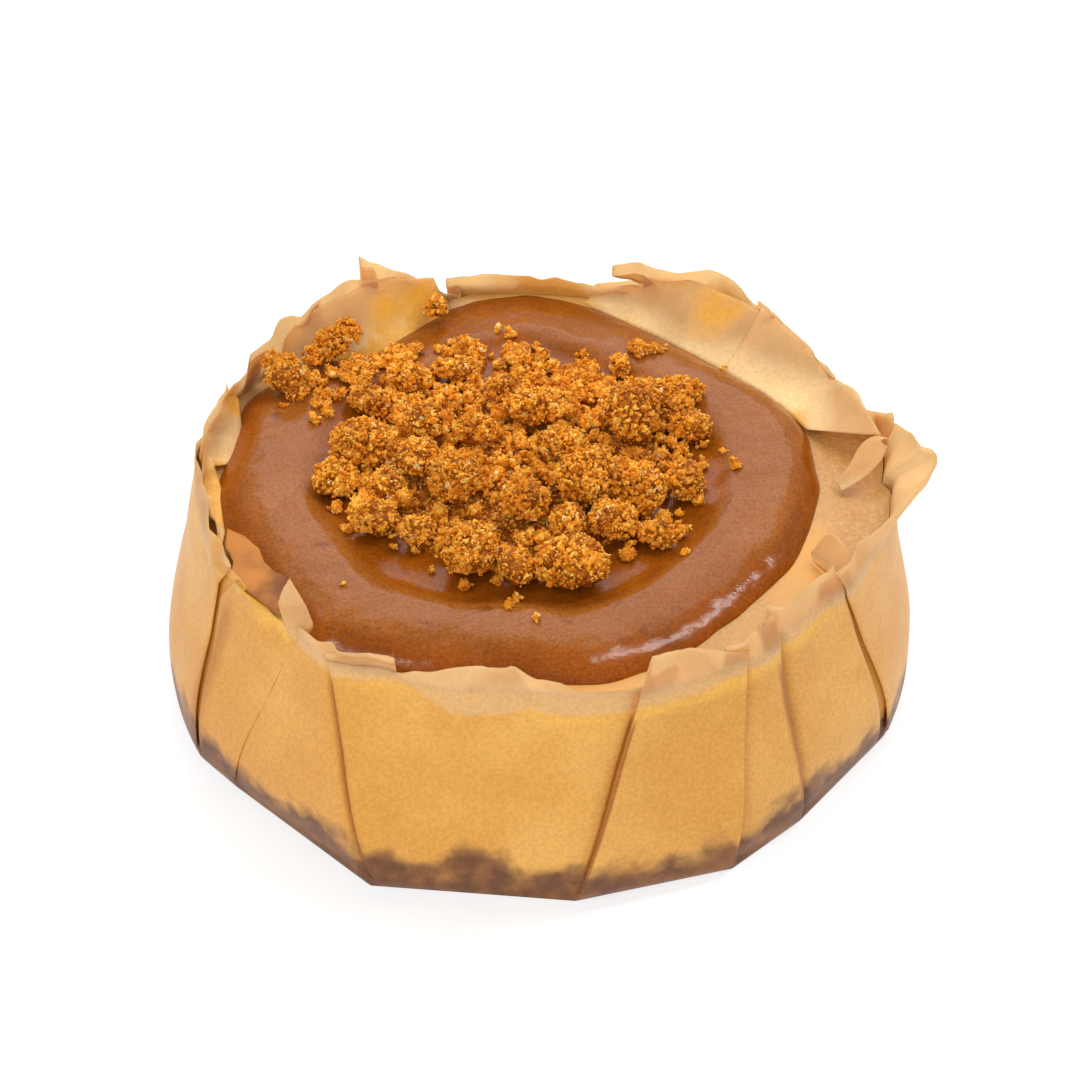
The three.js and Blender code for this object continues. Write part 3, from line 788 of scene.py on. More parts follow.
# %% The sheet
FOOT_ROWS = [0, 0.012, 0.024, 0.036, 0.048, 0.06, 0.072, 0.085]
WALL_ROWS = np.linspace(0.12, 0.79, 18)
RIM_ROWS = np.linspace(0.815, 1, 14)
UNDERSIDE_SHARES = [0.03, 0.25, 0.5, 0.75, 0.9, 0.97]


def thicken(piece):
    """Gives a sheet of paper its thickness, with the cut edge's material round its rim."""
    piece.data.materials.append(paper_edge)
    thick = piece.modifiers.new("thickness", "SOLIDIFY")
    thick.thickness = SHEET * MM
    thick.offset = 0
    thick.material_offset_rim = 1


wall = np.array([sheet_points(v) for v in [*FOOT_ROWS, *WALL_ROWS, *RIM_ROWS]])
flat_ring = wall[0] * [1, 1, 0] + [0, 0, SHEET / 2]
underside = np.array([flat_ring * [share, share, 1] for share in UNDERSIDE_SHARES])
sheet = np.concatenate([underside, wall])
rows, columns = sheet.shape[:2]
sheet_faces = [list(range(columns))[::-1], *band_faces(rows, columns)]
paper_case = make_piece("baking_paper_case", sheet, sheet_faces, paper, "baking_paper")
thicken(paper_case)
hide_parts("paper_case")

# %% [markdown]
# Loose leaves of the rim
#
# Where the folds were pressed, the inner layers lie forward over the cream like aprons, and corners of
# the sheet stick out. Each is a small sheet of its own here, drawn between a lower and an upper edge.


# %% Leaves
def curve(stations, count):
    """A smooth line of count values through evenly spaced ones."""
    where = np.linspace(0, len(stations) - 1, count)
    low = np.clip(where.astype(int), 0, len(stations) - 2)
    padded = np.concatenate([[2 * stations[0] - stations[1]], stations, [2 * stations[-1] - stations[-2]]])
    t = where - low
    a, b, c, d = (padded[low + k] for k in range(4))
    return b + 0.5 * t * (c - a + t * (2 * a - 5 * b + 4 * c - d + t * (3 * (b - c) + d - a)))


LEAF_COLUMNS, LEAF_ROWS = 40, 16


def make_leaf(name, stations, material, sag, seed):
    """A sheet between two edges; a station is angle, radius and z below, then the same above."""
    values = [curve(np.array(column, float), LEAF_COLUMNS) for column in zip(*stations)]
    low, high = standing(*values[:3]), standing(*values[3:])
    rows = []
    for t in np.linspace(0, 1, LEAF_ROWS):
        place = mix(low, high, t)
        angle = np.degrees(np.arctan2(place[:, 1], place[:, 0])) % 360
        push = 0.35 * wobble(place, 5, seed) + 0.6 * facets(angle + 4 * t, 5, seed)
        push = push + 0.3 * facets(angle - 5 * t, 3.1, seed + 1)
        push = (push * smooth(t / 0.2) + sag * math.sin(math.pi * t))[:, None]
        rows.append(place + push * standing(angle, 1, -0.3))
    faces = band_faces(LEAF_ROWS, LEAF_COLUMNS, closed=False)
    thicken(make_piece(name, rows, faces, material, "baking_paper"))


print("points of a leaf:", LEAF_COLUMNS * LEAF_ROWS)

# %% Shapes of the leaves
# Angle, radius and z of the lower edge, then of the upper edge.
LEAVES = {
    "apron_back": [
        [83, 43.6, 31.4, 80, 45.3, 33.2],
        [77, 41.6, 30.8, 74, 45.3, 34.8],
        [69, 38.4, 31.8, 66, 45.3, 36.6],
        [56, 36.0, 32.1, 57, 45.4, 37],
        [41, 36.4, 31.5, 45, 45.5, 35.6],
    ],
    "apron_back_right": [
        [46, 35.8, 31.9, 48, 45.3, 36.9],
        [40, 36.4, 31.5, 41, 45.2, 36],
        [33, 37.2, 31.2, 34, 45.1, 34.6],
        [27, 37.6, 31.0, 27, 45, 33],
    ],
    "apron_right": [
        [31, 37.6, 31.3, 30, 45.2, 33.4],
        [27, 37.8, 31.2, 25, 45.4, 34.6],
        [23, 38, 31.3, 20, 45.6, 35.6],
        [20.5, 38.2, 31.4, 14, 45.9, 35.8],
        [19.5, 38.4, 31.5, 6, 46.2, 36.4],
    ],
    "roll_right": [
        [-1, 40.2, 31.4, 2.5, 39.7, 32],
        [-1, 41.6, 32.4, 3, 41, 34.2],
        [0, 43.6, 33.6, 5, 42.6, 35.8],
        [2, 45.4, 34.8, 5.5, 44.6, 36.8],
        [4, 46.4, 35.8, 4.5, 46.3, 37],
    ],
    "curl_right": [
        [337, 38.7, 31, 338.5, 38.9, 32.4],
        [335.5, 40.2, 31, 338, 40.4, 35.4],
        [334, 42, 31, 336.5, 42.2, 36],
        [333, 43.4, 31.2, 335, 43.8, 34.8],
        [332, 44.2, 31.6, 333, 44.5, 33.6],
    ],
    "apron_back_left": [
        [107, 43, 31.3, 109.5, 45.2, 36],
        [112, 40.8, 30.8, 114, 45.1, 36.8],
        [119, 38.8, 30.7, 120, 45, 38],
        [128, 38.4, 30.7, 129, 45, 37.5],
        [138, 41.4, 30.8, 138, 45, 36.6],
        [143, 43.6, 31.4, 142, 45, 35.6],
    ],
    "petal_left": [
        [157, 44.4, 33.4, 158, 45.6, 36.2],
        [163, 42.1, 31.2, 163, 45.4, 36.6],
        [167.5, 41.8, 31, 167.5, 45.3, 36.6],
        [172, 42.2, 31, 172, 45, 36],
        [176, 44.4, 32.6, 175.5, 45, 35],
    ],
    "petal_left_low": [
        [174, 44, 32.6, 174, 44.8, 34.6],
        [181, 42.2, 30.9, 181, 44.6, 33.8],
        [187, 42.3, 30.9, 187, 44.4, 33.4],
        [193, 42.5, 30.9, 193, 44.4, 34],
        [199, 44, 32.4, 198, 44.6, 34.4],
    ],
    "flap_front_left": [
        [208, 44.6, 32.6, 193, 42.6, 31.9],
        [212, 44.8, 32.8, 198, 39.7, 32.3],
        [216, 44.8, 33, 203, 38, 32.5],
        [220, 44.6, 33.4, 208, 37.4, 32.6],
        [222.5, 44.4, 33.6, 212, 38.6, 33],
    ],
    "tip_front_left": [
        [221.2, 44.5, 35.4, 221.6, 43.2, 38.4],
        [222.5, 44.7, 33.6, 224.6, 43, 36.4],
        [224, 44.8, 31.8, 227.4, 42.8, 34.1],
        [225.1, 44.9, 30.4, 227, 43, 32.2],
    ],
}
# How far the middle of a leaf lies outside the straight line between its edges.
LEAF_SAG = 0.5
LEAF_SAGS = {"roll_right": -0.9, "curl_right": -0.7}
LEAF_PAPERS = {"flap_front_left": paper_on_spread, "tip_front_left": paper}
FIRST_SEED = 40
for number, (name, stations) in enumerate(LEAVES.items()):
    leaf_paper = LEAF_PAPERS.get(name, paper_leaf)
    make_leaf(name, stations, leaf_paper, LEAF_SAGS.get(name, LEAF_SAG), FIRST_SEED + 2 * number)

# %% [markdown]
# Where the paper's inner face is
#
# The cream was poured into the paper, so it fills every panel. To shape it, a ray is sent out from the
# middle at each angle, at each height, and the nearest crossing with the sheet is where the cream ends.

# %% The paper's inner face
ROUND_STEPS = 480
ROUND = np.arange(ROUND_STEPS) * 360 / ROUND_STEPS
# What base, cream and spread keep from the paper's inner face.
GAP = 0.1


def level_loop(z):
    """Points where the sheet crosses a level, in order round the case."""
    heights = wall[:, :, 2]
    above = np.argmax(heights > z, axis=0)
    column = np.arange(wall.shape[1])
    low, high = wall[above - 1, column], wall[above, column]
    t = (z - low[:, 2]) / (high[:, 2] - low[:, 2])
    return mix(low, high, t[:, None])[:, :2]


def inner_reach(z):
    """Radius of the sheet's inner face at each of the ROUND angles."""
    loop = level_loop(z)
    after = np.roll(loop, -1, axis=0)
    ray = standing(ROUND, 1, 0)[:, None, :2]
    side_here = ray[..., 0] * loop[:, 1] - ray[..., 1] * loop[:, 0]
    side_after = ray[..., 0] * after[:, 1] - ray[..., 1] * after[:, 0]
    crosses = side_here * side_after <= 0
    t = np.where(crosses, side_here / np.where(crosses, side_here - side_after, 1), 0)
    hit = loop + (after - loop) * t[..., None]
    reach = (ray * hit).sum(-1)
    reach = np.where(crosses & (reach > 0), reach, np.inf).min(1)
    nearest = np.min([np.roll(reach, k) for k in (-1, 0, 1)], axis=0)
    return np.mean([np.roll(nearest, k) for k in (-1, 0, 1)], axis=0) - SHEET


def around(radius, z):
    """A ring of points at the ROUND angles."""
    return standing(ROUND, radius, z)


print("inner face at the cake's top:", round(float(inner_reach(CAKE_TOP).mean()), 1), "mm")

# %% [markdown]
# Biscuit base
#
# Crushed biscuits pressed flat with butter. The paper hides it, but it is there when the case is peeled
# off, so it gets a rough side of crumbs: the ring of points is pushed in and out by a fine noise.

# %% Biscuit base
nodes = Finish("pressed_biscuit", {"Roughness": 0.85})
grit_cells = nodes.group(GRIT, {"Scale": 900})
crumb_colour = nodes.mix(grit_cells["Random"], colour(126, 80, 50), colour(176, 118, 76))
biscuit = nodes.show(crumb_colour, grit_cells["Height"], 0.3)

BASE_FLOOR = 0.2
BASE_ROUGHNESS = 0.35
base_rings = []
for z in np.linspace(BASE_FLOOR, BASE_TOP, 14):
    rim = inner_reach(max(z, 0.5)) - GAP
    rough = BASE_ROUGHNESS * (1 + wobble(around(rim, z), 1.6, 6)) * smooth((z - BASE_FLOOR) / 0.8)
    base_rings.append(around(rim - rough, z))
base = piece_of_rings("pressed_biscuit_base", base_rings, biscuit, "biscuit")
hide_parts("biscuit_base")

# %% [markdown]
# Cheesecake
#
# Baked cream cheese is smooth and dense, a little glossy, and lets light in for a millimetre or two,
# which softens its shading. It clings to the paper, so its top curves up along the wall.

# %% Cheesecake, the material
cream_finish = {
    "Roughness": 0.36,
    "Specular IOR Level": 0.3,
    "Subsurface Weight": 0.25,
    "Subsurface Radius": (1.0, 0.5, 0.25),
    "Subsurface Scale": 2 * MM,
}
nodes = Finish("baked_cream", cream_finish)
tone = nodes.mottle(60, 0.35, 0.65, colour(178, 128, 70), colour(192, 144, 84))
tone = nodes.mottle(26, 0.52, 0.66, tone, colour(222, 158, 72))
tone = nodes.mottle(1800, 0.35, 0.9, tone, colour(206, 160, 102))
cream = nodes.show(tone, nodes.cloud(900.0), 0.05)

# %% Cheesecake, the shape
CLING = 1.2
CLING_WIDTH = 3.4
CAKE_BOTTOM = BASE_TOP + 0.05
cake_rings = [around(inner_reach(z), z) for z in np.linspace(CAKE_BOTTOM, CAKE_TOP - 0.2, 16)]
# Steps inwards over the top, in millimetres, and then shares of its radius.
for inset in (0, 0.3, 0.7, 1.2, 1.8, 2.5, CLING_WIDTH, 5, 7, 10):
    climb = CLING * (1 - min(inset / CLING_WIDTH, 1)) ** 2
    within_paper = np.minimum(inner_reach(CAKE_TOP) - inset, inner_reach(CAKE_TOP + climb + 0.3) - GAP)
    ring = around(within_paper, CAKE_TOP + climb)
    ring[:, 2] += 0.2 * wobble(ring, 9, 7) * smooth(inset / 2)
    cake_rings.append(ring)
for share in (0.6, 0.4, 0.2, 0.02):
    cake_rings.append(around(inner_reach(CAKE_TOP) * share, CAKE_TOP))
cake = piece_of_rings("baked_cheesecake", cake_rings, cream, "cheesecake")
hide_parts("cheesecake")

# %% [markdown]
# Caramel spread, the material
#
# Biscuit spread is a fine, oily paste. Where it is thick it looks milky brown; where it thins out, at
# its edge and in the hollow, the light goes through and it turns a deep amber. In the hollow round the
# heap that deep colour is also painted shade. Its height over the cake is a good stand-in for its
# thickness. Ground biscuit and spice speckle it. The oil makes it glossy: where it lies level it mirrors
# the white backdrop and looks milky, where it slopes its own deep colour shows. A fine bump breaks the
# mirror up.

# %% Caramel
SPREAD_BOTTOM = 30.9
SPICE_SHARE = 0.4
GRAIN_DARK = (0.8, 0.78, 0.72, 1)
GRAIN_LIGHT = (1.16, 1.17, 1.2, 1)
caramel_finish = {
    "Roughness": 0.16,
    "Specular IOR Level": 0.25,
    "Subsurface Weight": 0.15,
    "Subsurface Radius": (1.0, 0.45, 0.15),
    "Subsurface Scale": 1.5 * MM,
}
nodes = Finish("caramel_spread", caramel_finish)
thick_spread = nodes.mottle(55, 0.3, 0.7, colour(143, 80, 26), colour(155, 90, 35))
# The thin colour is the paste's own deep amber where it is thin, and painted shade in the hollow round the
# heap.
thin_and_shaded_spread = nodes.mottle(90, 0.3, 0.7, colour(130, 66, 8), colour(150, 78, 12))
thickness_and_shade_mask = nodes.rise(height_of(nodes), SPREAD_BOTTOM + 1.7, SPREAD_BOTTOM + 2.6)
paste = nodes.mix(thickness_and_shade_mask, thin_and_shaded_spread, thick_spread)
streaks = nodes.patches(300, 0.62, 0.8, place=nodes.stretched((1, 1, 6)))
paste = nodes.mix(streaks, paste, colour(120, 62, 18))
spice = nodes.times(nodes.patches(1500, 0.55, 0.75), SPICE_SHARE)
paste = nodes.mix(spice, paste, colour(104, 54, 16))
paste = nodes.mix(1.0, paste, nodes.mottle(2600, 0.3, 0.7, GRAIN_DARK, GRAIN_LIGHT), "MULTIPLY")
ripple = nodes.plus(nodes.cloud(600.0), nodes.times(nodes.cloud(2400.0), 0.6))
caramel = nodes.show(paste, ripple, 0.05, 0.7)

# %% [markdown]
# Caramel spread, the shape
#
# A spoon pushed the spread outwards, so it stands up in a ring near its edge, falls to a hollow where the
# crumbs lie, and ends in a rounded bank on the cream. The surface is a function of angle and distance
# from its middle, which is simpler to steer towards the photograph than sculpting.

# %% Caramel shape
SPREAD_CENTRE = np.array([-2.5, 1.5])
SPREAD_REACH = 39.4
BASIN = 1.5
RING = 2.9
STEP_FROM = 0.63
STEP_WIDTH = 0.12
CREST = 0.8
EDGE_SINKS = 0.4
# Bulges and dents of the edge: middle angle, half width, outward distance.
BULGES = [
    [90, 13, 5.6],
    [72, 11, 1],
    [44, 14, -1.4],
    [18, 16, 0.7],
    [284, 11, 3.2],
    [300, 10, 1.6],
    [124, 10, -2.8],
    [104, 8, 1.2],
    [153, 12, 2.4],
    [190, 20, 1.2],
    [232, 17, 3.8],
    [256, 11, 1.8],
]


def spread_reach(angle):
    return SPREAD_REACH + sum(out * hill(angle, middle, width) for middle, width, out in BULGES)


def spread_thickness(angle, share):
    """Thickness at a share of the reach: hollow, step up to the ring, round bank down to nothing."""
    inside = mix(BASIN, RING, smooth((share - STEP_FROM) / STEP_WIDTH))
    behind = hill(angle, 95, 32)
    crest = CREST - 0.14 * behind + 0.07 * hill(angle, 8, 40)
    bank = np.clip((share - crest) / (1 - crest), 0, 1) ** (1.9 - 0.7 * behind)
    on_ring = smooth((share - 0.5) / 0.2) * (1 - smooth((share - 0.85) / 0.15))
    wave = 0.25 * on_ring * np.sin(np.radians(2 * angle + 40))
    return (inside + wave + EDGE_SINKS) * (1 - bank) ** 0.72 - EDGE_SINKS


def spread_height(x, y):
    """Level of the spread's surface under points."""
    dx, dy = x - SPREAD_CENTRE[0], y - SPREAD_CENTRE[1]
    angle = np.degrees(np.arctan2(dy, dx))
    share = np.hypot(dx, dy) / spread_reach(angle)
    return SPREAD_BOTTOM + spread_thickness(angle, np.minimum(share, 1))


in_hollow, on_front_ring = spread_height(0, 0), spread_height(0, -34)
print(f"level of the spread: {in_hollow:.1f} mm in the hollow, {on_front_ring:.1f} mm on the ring")

# %% Caramel mesh
spread_shares = [*np.linspace(0.03, 0.6, 12), *np.linspace(0.62, 0.8, 15), *np.linspace(0.815, 0.98, 17)]
spread_shares = np.array([*spread_shares, 0.988, 0.994, 0.998, 1])[::-1]
spread_rings = []
paper_limit = inner_reach(SPREAD_BOTTOM + 0.8) - GAP
for share in spread_shares:
    wavy = 0.45 * wobble(around(40, 0), 5, 8) * share**6
    radius = (spread_reach(ROUND) + wavy) * share
    ring = around(radius, 0) + [*SPREAD_CENTRE, 0]
    ring[:, 2] = SPREAD_BOTTOM + spread_thickness(ROUND, share)
    drawn_out = np.stack([ROUND / 9, share * 14 + 0 * ROUND, 0 * ROUND], -1)
    lumpy = 0.13 * wobble(ring, 4, 13) + 0.08 * wobble(ring, 1.6, 10)
    uneven = 0.14 * wobble(drawn_out, 1, 9) + lumpy * smooth((share - 0.6) / 0.2)
    ring[:, 2] += uneven * smooth((1 - share) / 0.05)
    reach = np.hypot(ring[:, 0], ring[:, 1])
    limit = np.interp(np.degrees(np.arctan2(ring[:, 1], ring[:, 0])) % 360, ROUND, paper_limit)
    ring[:, :2] *= np.minimum(1, limit / reach)[:, None]
    spread_rings.append(ring)
under = spread_rings[0] * [0.97, 0.97, 0] + [0, 0, CAKE_TOP - 0.3]
spread_rings.insert(0, under)
spread = piece_of_rings("caramel_pool", spread_rings, caramel, "caramel")
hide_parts("caramel_spread")

# %% [markdown]
# Crumbs, the material
#
# The crumbs are crushed caramel biscuits: golden grains of sugar and flour stuck together in lumps. Each
# grain has its own tone, and a few are nearly white: pale sugar, and painted glints of light on it. The
# cores in the gaps between the crumbs have darker colours, as painted shade.

# %% Crumbs
CRUMB_TONES = [colour(190, 104, 14), colour(242, 156, 34), colour(254, 200, 84)]
# Darker copies of the tones for the melted cores: painted shade in the gaps between the crumbs.
CORE_SHADE_TONES = [colour(120, 58, 6), colour(170, 92, 12), colour(208, 132, 34)]
SUGARY_TONES = [colour(212, 126, 22), colour(250, 176, 50), colour(255, 216, 110)]
# Nearly white: pale sugar, and a painted glint of light on it.
SUGAR_AND_GLINT = colour(255, 226, 160)
SUGAR_AND_GLINT_SHARE = 0.02


def make_crumb(name, tones):
    """The crumbs' material: dark, usual and light grains, and a few nearly white ones: pale sugar with
    painted glints.
    """
    dark, usual, light = tones
    nodes = Finish(name, {"Roughness": 0.7, "Specular IOR Level": 0.25})
    cells = nodes.group(GRIT, {"Scale": 1900})
    tone = cells["Random"]
    paint = nodes.mix(nodes.rise(tone, 0.0, 0.45), dark, usual)
    paint = nodes.mix(nodes.rise(tone, 0.55, 0.95), paint, light)
    # Nearly white cells: pale sugar grains, and painted glints of light on them.
    paint = nodes.mix(nodes.rise(tone, 1 - SUGAR_AND_GLINT_SHARE, 1 - SUGAR_AND_GLINT_SHARE / 2), paint, SUGAR_AND_GLINT)
    paint = nodes.mix(nodes.times(nodes.patches(150, 0.4, 0.66), 0.45), paint, dark)
    return nodes.show(paint, cells["Height"], 0.2)


crumb = make_crumb("biscuit_crumb", CRUMB_TONES)
crumb_core_painted_shade = make_crumb("biscuit_crumb_core_painted_shade", CORE_SHADE_TONES)
sugary_grain = make_crumb("sugary_grain", SUGARY_TONES)

# %% [markdown]
# Crumbs, the lumps
#
# A lump is many small crumbs that stick together. Here each lump is a ball; a voxel remesh melts all the
# balls and the mound below them into one closed core, and noise roughens it. The core is painted in
# darker tones, as painted shade in the gaps. Over each lump and in the gaps between them lie the crumbs
# themselves, as small dented balls. The places of the lumps are the part's own, so the heap keeps the
# form of its solid.

# %% Lumps, as in the part's source
# x, y, height of the middle above the cake, half size along X, half size along Y and Z.
CLUMPS = [
    [4, -21.5, 5, 5.1, 3.8],
    [6.5, -6, 7, 4.7, 4.2],
    [13, -6.5, 5.4, 3.7, 3.8],
    [12.5, 8.5, 6.8, 3.7, 4.7],
    [-23.5, 3.5, 5.2, 4.6, 3.9],
    [-9, -19, 5, 3.7, 3.9],
    [-11, -6, 7, 3.7, 3.9],
    [-2, -10.5, 6.6, 3.4, 3.2],
    [-16, -1, 6.4, 3.1, 3],
    [9.5, -12, 4.4, 3.7, 3],
    [0, 10.5, 6.6, 5.2, 2.6],
    [20, 9.5, 3.8, 2.9, 2.3],
    [14.5, 15, 4.6, 3.6, 2.8],
    [18.8, 17.2, 4, 3.6, 2.3],
    [18.5, 13, 3.8, 2.6, 2.6],
    [-27, -2.5, 4.2, 3.2, 2.8],
    [-21.5, -11, 4.1, 3.1, 2.7],
    [-20, -4, 4, 2.9, 2.4],
    [-15, 7.5, 6.2, 3.4, 2.8],
    [-21, 14.5, 3.8, 3.4, 2.3],
    [19, -3, 4.2, 2.7, 2.8],
    [-3, -21.5, 4.4, 2.3, 2.9],
    [-16, -13.5, 3.9, 2.6, 2.3],
    [3.5, -13.5, 5.4, 2.4, 2.7],
    [15.5, -13.5, 3.4, 2.8, 1.9],
    [-4, 15.5, 5.8, 3, 2.2],
    [-8.5, 4.5, 7, 3.2, 2.2],
    [2.5, 1.5, 7, 3.2, 2.3],
    [-11.5, 23, 3.6, 3.6, 1.9],
    [-18, 20.5, 3.6, 3.6, 2.4],
    [-23.5, 16.5, 3.4, 2.6, 2],
    [11, 24, 3.4, 1.4, 1.9],
]
HEAP_CENTRE = [-3.5, 1.5]
HEAP_REACH = [25, 24.5]
MOUND = 2.5
print("lumps in the heap:", len(CLUMPS))


# %% Balls
draw = np.random.default_rng(21)


def ball(detail):
    """Points and faces of a ball of radius 1 made of triangles."""
    made = bmesh.new()
    bmesh.ops.create_icosphere(made, subdivisions=detail, radius=1)
    points = np.array([p.co for p in made.verts])
    faces = np.array([[p.index for p in face.verts] for face in made.faces])
    made.free()
    return points, faces


def turned(points):
    """Points turned at random about their middle."""
    basis, _ = np.linalg.qr(draw.normal(size=(3, 3)))
    basis[:, 0] *= np.linalg.det(basis)
    return points @ basis


def dented(unit, number):
    """A ball with dents; each number gives others."""
    dents = 1 + 0.42 * wobble(unit * 1.1, 1, number) + 0.2 * wobble(unit * 2.6, 1, 50 + number)
    return unit * dents[:, None]


SMALL_BALL, CRUMB_FACES = ball(1)
CRUMB_SHAPES = [dented(SMALL_BALL, number) for number in range(16)]
print("shapes of crumbs:", len(CRUMB_SHAPES), "with", len(CRUMB_FACES), "faces each")


# %% Crumbs on lumps and between them
GOLDEN_TURN = 137.5
# Nearer than this, the gaps between the lumps stay half empty.
GAPS_BEFORE = -5
GAPS_SHARE = 0.6
UNDER_SHARE = 0.9
# Half sizes of the crumbs on a lump; one in six is larger.
CRUMB_SIZES = [0.18, 0.37]
CRUMB_GROWTH = [1, 1, 1, 1, 1, 1.8]


def joined_crumbs(name, crumbs):
    """Crumbs, each as (middle, half size), as one mesh of closed dented balls."""
    placed = []
    for middle, size in crumbs:
        shape = CRUMB_SHAPES[draw.integers(len(CRUMB_SHAPES))] * draw.uniform(0.75, 1.25, size=3)
        placed.append(middle + turned(shape) * size)
    return make_piece(name, *joined(placed, CRUMB_FACES), crumb, "crumbs", flat=True)


def crumbs_on_lump(middle, sizes, density=17):
    """Crumbs over the upper part of a lump; density goes with the product of its half sizes."""
    found = []
    for _ in range(int(density * math.prod(sizes[:2]))):
        way = draw.normal(size=3)
        way[2] = abs(way[2]) - 0.35
        way /= np.linalg.norm(way)
        size = draw.uniform(*CRUMB_SIZES) * draw.choice(CRUMB_GROWTH)
        found.append((middle + way * (sizes * draw.uniform(0.86, 1.0) - size * 0.5), size))
    return found


def under_lump(x, y):
    """Whether a place is within one of the large lumps, seen from above."""
    shares = [math.hypot((x - cx) / wide, (y - cy) / deep) for cx, cy, _, wide, deep in CLUMPS]
    return min(shares) < UNDER_SHARE


def mound_height(x, y):
    """Height of the heap's core under a place, above the spread."""
    reach = math.hypot((x - HEAP_CENTRE[0]) / HEAP_REACH[0], (y - HEAP_CENTRE[1]) / HEAP_REACH[1])
    return max(MOUND * (1 - reach**2.2), 0)


def crumbs_between(count, low, high):
    """Crumbs spread over the mound in a sunflower pattern, wherever no large lump covers it."""
    found = []
    for i in range(count):
        reach = math.sqrt((i + 0.5) / count) * draw.uniform(0.92, 1.06)
        angle = math.radians(i * GOLDEN_TURN + draw.uniform(-20, 20))
        x = HEAP_CENTRE[0] + HEAP_REACH[0] * reach * math.cos(angle)
        y = HEAP_CENTRE[1] + HEAP_REACH[1] * reach * math.sin(angle)
        size = low * (high / low) ** draw.uniform(0, 1)
        z = float(spread_height(x, y)) + mound_height(x, y) + size * draw.uniform(0.1, 0.9)
        gap_at_front = y < GAPS_BEFORE and draw.uniform() < GAPS_SHARE
        if not under_lump(x, y) and not gap_at_front:
            found.append((np.array([x, y, z]), size))
    return found


print("mound under the middle of the heap:", mound_height(*HEAP_CENTRE), "mm")


# %% Melted lumps
CORE_SHARE = 0.86
# Depth of the roughness, length of its waves and seed.
ROUGH_WAVES = [[1.1, 4, 11], [0.55, 1.7, 12], [0.2, 0.8, 13]]


def melted(name, balls, voxel):
    """One closed skin round balls, each as (middle, half sizes), roughened by noise."""
    unit, triangles = ball(3)
    placed = [middle + turned(unit) * sizes for middle, sizes in balls]
    # The core's darker material is painted shade for the gaps between the crumbs.
    piece = make_piece(name, *joined(placed, triangles), crumb_core_painted_shade, "crumbs")
    remesh = piece.modifiers.new("melt", "REMESH")
    remesh.mode = "VOXEL"
    remesh.voxel_size = voxel * MM
    graph = bpy.context.evaluated_depsgraph_get()
    mesh = bpy.data.meshes.new_from_object(piece.evaluated_get(graph))
    piece.modifiers.clear()
    piece.data = mesh
    points = np.array([p.co for p in mesh.vertices]) / MM
    normals = np.array([p.normal for p in mesh.vertices])
    push = sum(depth * wobble(points, length, seed) for depth, length, seed in ROUGH_WAVES)
    mesh.vertices.foreach_set("co", ((points + normals * push[:, None]) * MM).ravel())
    mesh.update()
    mesh.shade_smooth()
    print(f"{name}: {len(mesh.polygons)} faces after melting")
    return piece


def placed_lumps(lumps):
    """Lumps as (middle, half sizes), from x, y, height above the cake and the sizes along X and Y."""
    return [(np.array([x, y, CAKE_TOP + z]), np.array([wide, deep, deep])) for x, y, z, wide, deep in lumps]


def cores(lumps):
    """The inner balls of the lumps, which the crumbs cover."""
    return [(middle, sizes * CORE_SHARE) for middle, sizes in lumps]


# %% The heap
lumps = placed_lumps(CLUMPS)
lump_crumbs = sum([crumbs_on_lump(middle, sizes) for middle, sizes in lumps], [])
mound = (np.array([*HEAP_CENTRE, CAKE_TOP + 1.4]), np.array([20.5, 20, MOUND - 0.6]))
heap = melted("crumb_heap_core", [mound, *cores(lumps)], 0.45)
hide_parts("crumb_heap")
on_lumps = joined_crumbs("crumbs_on_lumps", lump_crumbs)
small_crumbs = crumbs_between(900, 0.45, 1.2) + crumbs_between(700, 0.3, 0.6)
between = joined_crumbs("crumbs_between", small_crumbs)
crumb_pieces = [heap, on_lumps, between]

# %% [markdown]
# Loose lumps and stray crumbs
#
# Three lumps lie by the rim, away from the heap, and single crumbs and thin fields of them dot the
# spread. They are made like the heap, but each has a place of its own, because they are few and each
# one shows.

# %% Loose lumps by the rim
# x, y, height of the middle above the cake, half size.
LOOSE = {
    "crumb_clump_left": [[-34.3, 19.8, 4.9, 2.9], [-35.8, 21.5, 5.6, 1.9], [-33, 18, 3.4, 1.6]],
    "crumb_clump_back_left": [[-28.6, 27.6, 4.4, 2.4], [-26.6, 29.6, 5, 2.2], [-30.6, 25.8, 3.8, 1.8]],
    "crumb_clump_back": [[-14.6, 37.4, 3.6, 1.5], [-14.2, 38.4, 4, 1.2]],
}
for node, rows in LOOSE.items():
    name = node.replace("crumb_clump", "loose_lump")
    lumps = placed_lumps([*row, row[-1]] for row in rows)
    loose = melted(name, cores(lumps), 0.3)
    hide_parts(node)
    crumbs = sum([crumbs_on_lump(middle, sizes, 18) for middle, sizes in lumps], [])
    crumb_pieces += [loose, joined_crumbs(f"{name}_crumbs", crumbs)]

# %% Stray crumbs on the spread
# x, y, half size.
STRAYS = [
    [-30.9, 20.7, 1.3],
    [-32.6, 17.2, 0.9],
    [-34.6, 15.2, 0.6],
    [-30.2, 11.8, 0.9],
    [-28.4, 14.5, 1.1],
    [-27.2, 17.8, 1.0],
    [-25.5, -24.1, 0.5],
    [-4.1, -28.2, 0.8],
    [-0.5, -30.5, 0.7],
    [-3.0, -25.4, 0.7],
    [5.9, 28.3, 0.7],
    [17.2, 28.8, 0.5],
    [25.3, 25.5, 0.5],
    [24.7, 5.5, 0.6],
    [26.0, 1.5, 0.8],
    [19.0, -16.6, 0.6],
    [19.6, -9.8, 0.7],
    [-5.9, 33.5, 0.7],
    [-4.4, 32.6, 0.8],
]
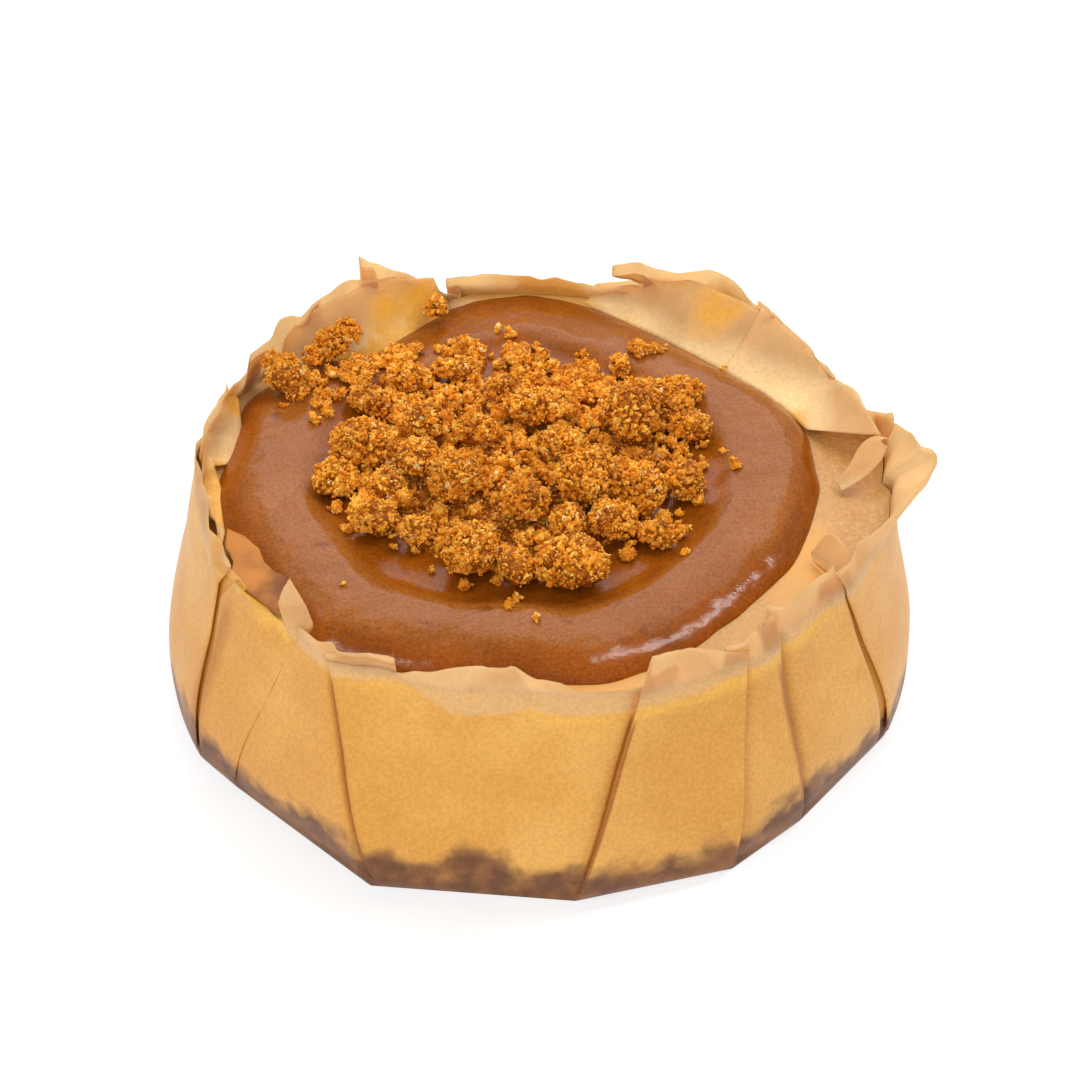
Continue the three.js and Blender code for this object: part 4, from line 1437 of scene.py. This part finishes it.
# Thin fields of small crumbs behind the heap: x, y, radius, count.
FIELDS = [
    [-25, 22.5, 4.5, 60],
    [-19, 27.5, 3, 36],
    [-10, 28, 3.5, 36],
    [-2, 27.5, 3.5, 36],
    [6, 24.5, 2.5, 22],
    [14, 27.5, 1.8, 14],
    [-29.5, 16.8, 1.6, 9],
]
CRUMBS_IN_STRAY = 4
stray = []
for x, y, radius, count in FIELDS:
    for _ in range(count):
        beside = draw.normal(size=2) * radius * 0.45
        size = 0.4 * 2.4 ** draw.uniform(0, 1)
        pile = max(1.6 - 0.8 * math.hypot(*beside) / radius * 2, 0) * draw.uniform(0, 1)
        z = float(spread_height(x + beside[0], y + beside[1])) + size * 0.5 + pile
        stray.append((np.array([x + beside[0], y + beside[1], z]), size))
for x, y, size in STRAYS:
    for _ in range(CRUMBS_IN_STRAY):
        beside = draw.normal(size=3) * size * 0.35
        z = float(spread_height(x, y)) + size * 0.45
        stray.append((np.array([x, y, z]) + beside, size * draw.uniform(0.4, 0.75)))
crumb_pieces.append(joined_crumbs("stray_crumbs", stray))

# %% [markdown]
# Crumbs, the grains
#
# What makes the heap read as crumbs is its outermost layer of loose grains, up to half a millimetre
# across. They are real little solids, not a bump, so that they also show on the outline. Points are drawn
# at random on the crumbs' faces, larger faces more often, and a grain with six corners is set on each.


# %% Places for grains
LOOKS_DOWN = -0.35


def random_places(pieces, count):
    """Points and normals drawn evenly over the pieces' faces that don't look down."""
    corners, normals, areas = [], [], []
    for piece in pieces:
        piece.data.calc_loop_triangles()
        where = np.array([p.co for p in piece.data.vertices]) / MM
        triangles = np.array([t.vertices[:] for t in piece.data.loop_triangles])
        corners.append(where[triangles])
        normals.append(np.array([t.normal for t in piece.data.loop_triangles]))
        areas.append(np.array([t.area for t in piece.data.loop_triangles]))
    corners, normals, areas = (np.concatenate(part) for part in (corners, normals, areas))
    weight = areas * (normals[:, 2] > LOOKS_DOWN)
    chosen = draw.choice(len(weight), size=count, p=weight / weight.sum())
    share = draw.dirichlet([1, 1, 1], size=count)
    return (corners[chosen] * share[..., None]).sum(1), normals[chosen]


def crystal():
    """Points and faces of a grain with six corners."""
    points = np.array([[1, 0, 0], [0, 1, 0], [-1, 0, 0], [0, -1, 0], [0, 0, 1], [0, 0, -1]])
    side = np.arange(4)
    after = (side + 1) % 4
    upper = np.stack([side, after, 0 * side + 4], -1)
    lower = np.stack([after, side, 0 * side + 5], -1)
    return points, np.concatenate([upper, lower])


def scatter(name, count, low, high, material):
    """Angular grains set on the crumbs, joined into one mesh."""
    unit, triangles = crystal()
    places, normals = random_places(crumb_pieces, count)
    sizes = low * (high / low) ** draw.uniform(0, 1, size=count)
    grains = []
    for place, normal, size in zip(places, normals, sizes):
        shape = turned(unit * draw.uniform(0.7, 1.25, size=3))
        grains.append(place + normal * size * draw.uniform(0.1, 0.7) + shape * size)
    return make_piece(name, *joined(grains, triangles), material, "crumbs", flat=True)


print("corners and faces of a grain:", *map(len, crystal()))

# %% Grains
scatter("grains_coarse", 13000, 0.2, 0.34, crumb)
scatter("grains_sugary", 24000, 0.13, 0.24, sugary_grain)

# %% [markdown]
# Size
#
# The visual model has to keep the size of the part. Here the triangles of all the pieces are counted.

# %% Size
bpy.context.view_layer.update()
meshes = [piece.data for piece in scene.objects if piece.type == "MESH"]
triangles = sum(len(face.vertices) - 2 for mesh in meshes for face in mesh.polygons)
print("triangles before thickness:", triangles)
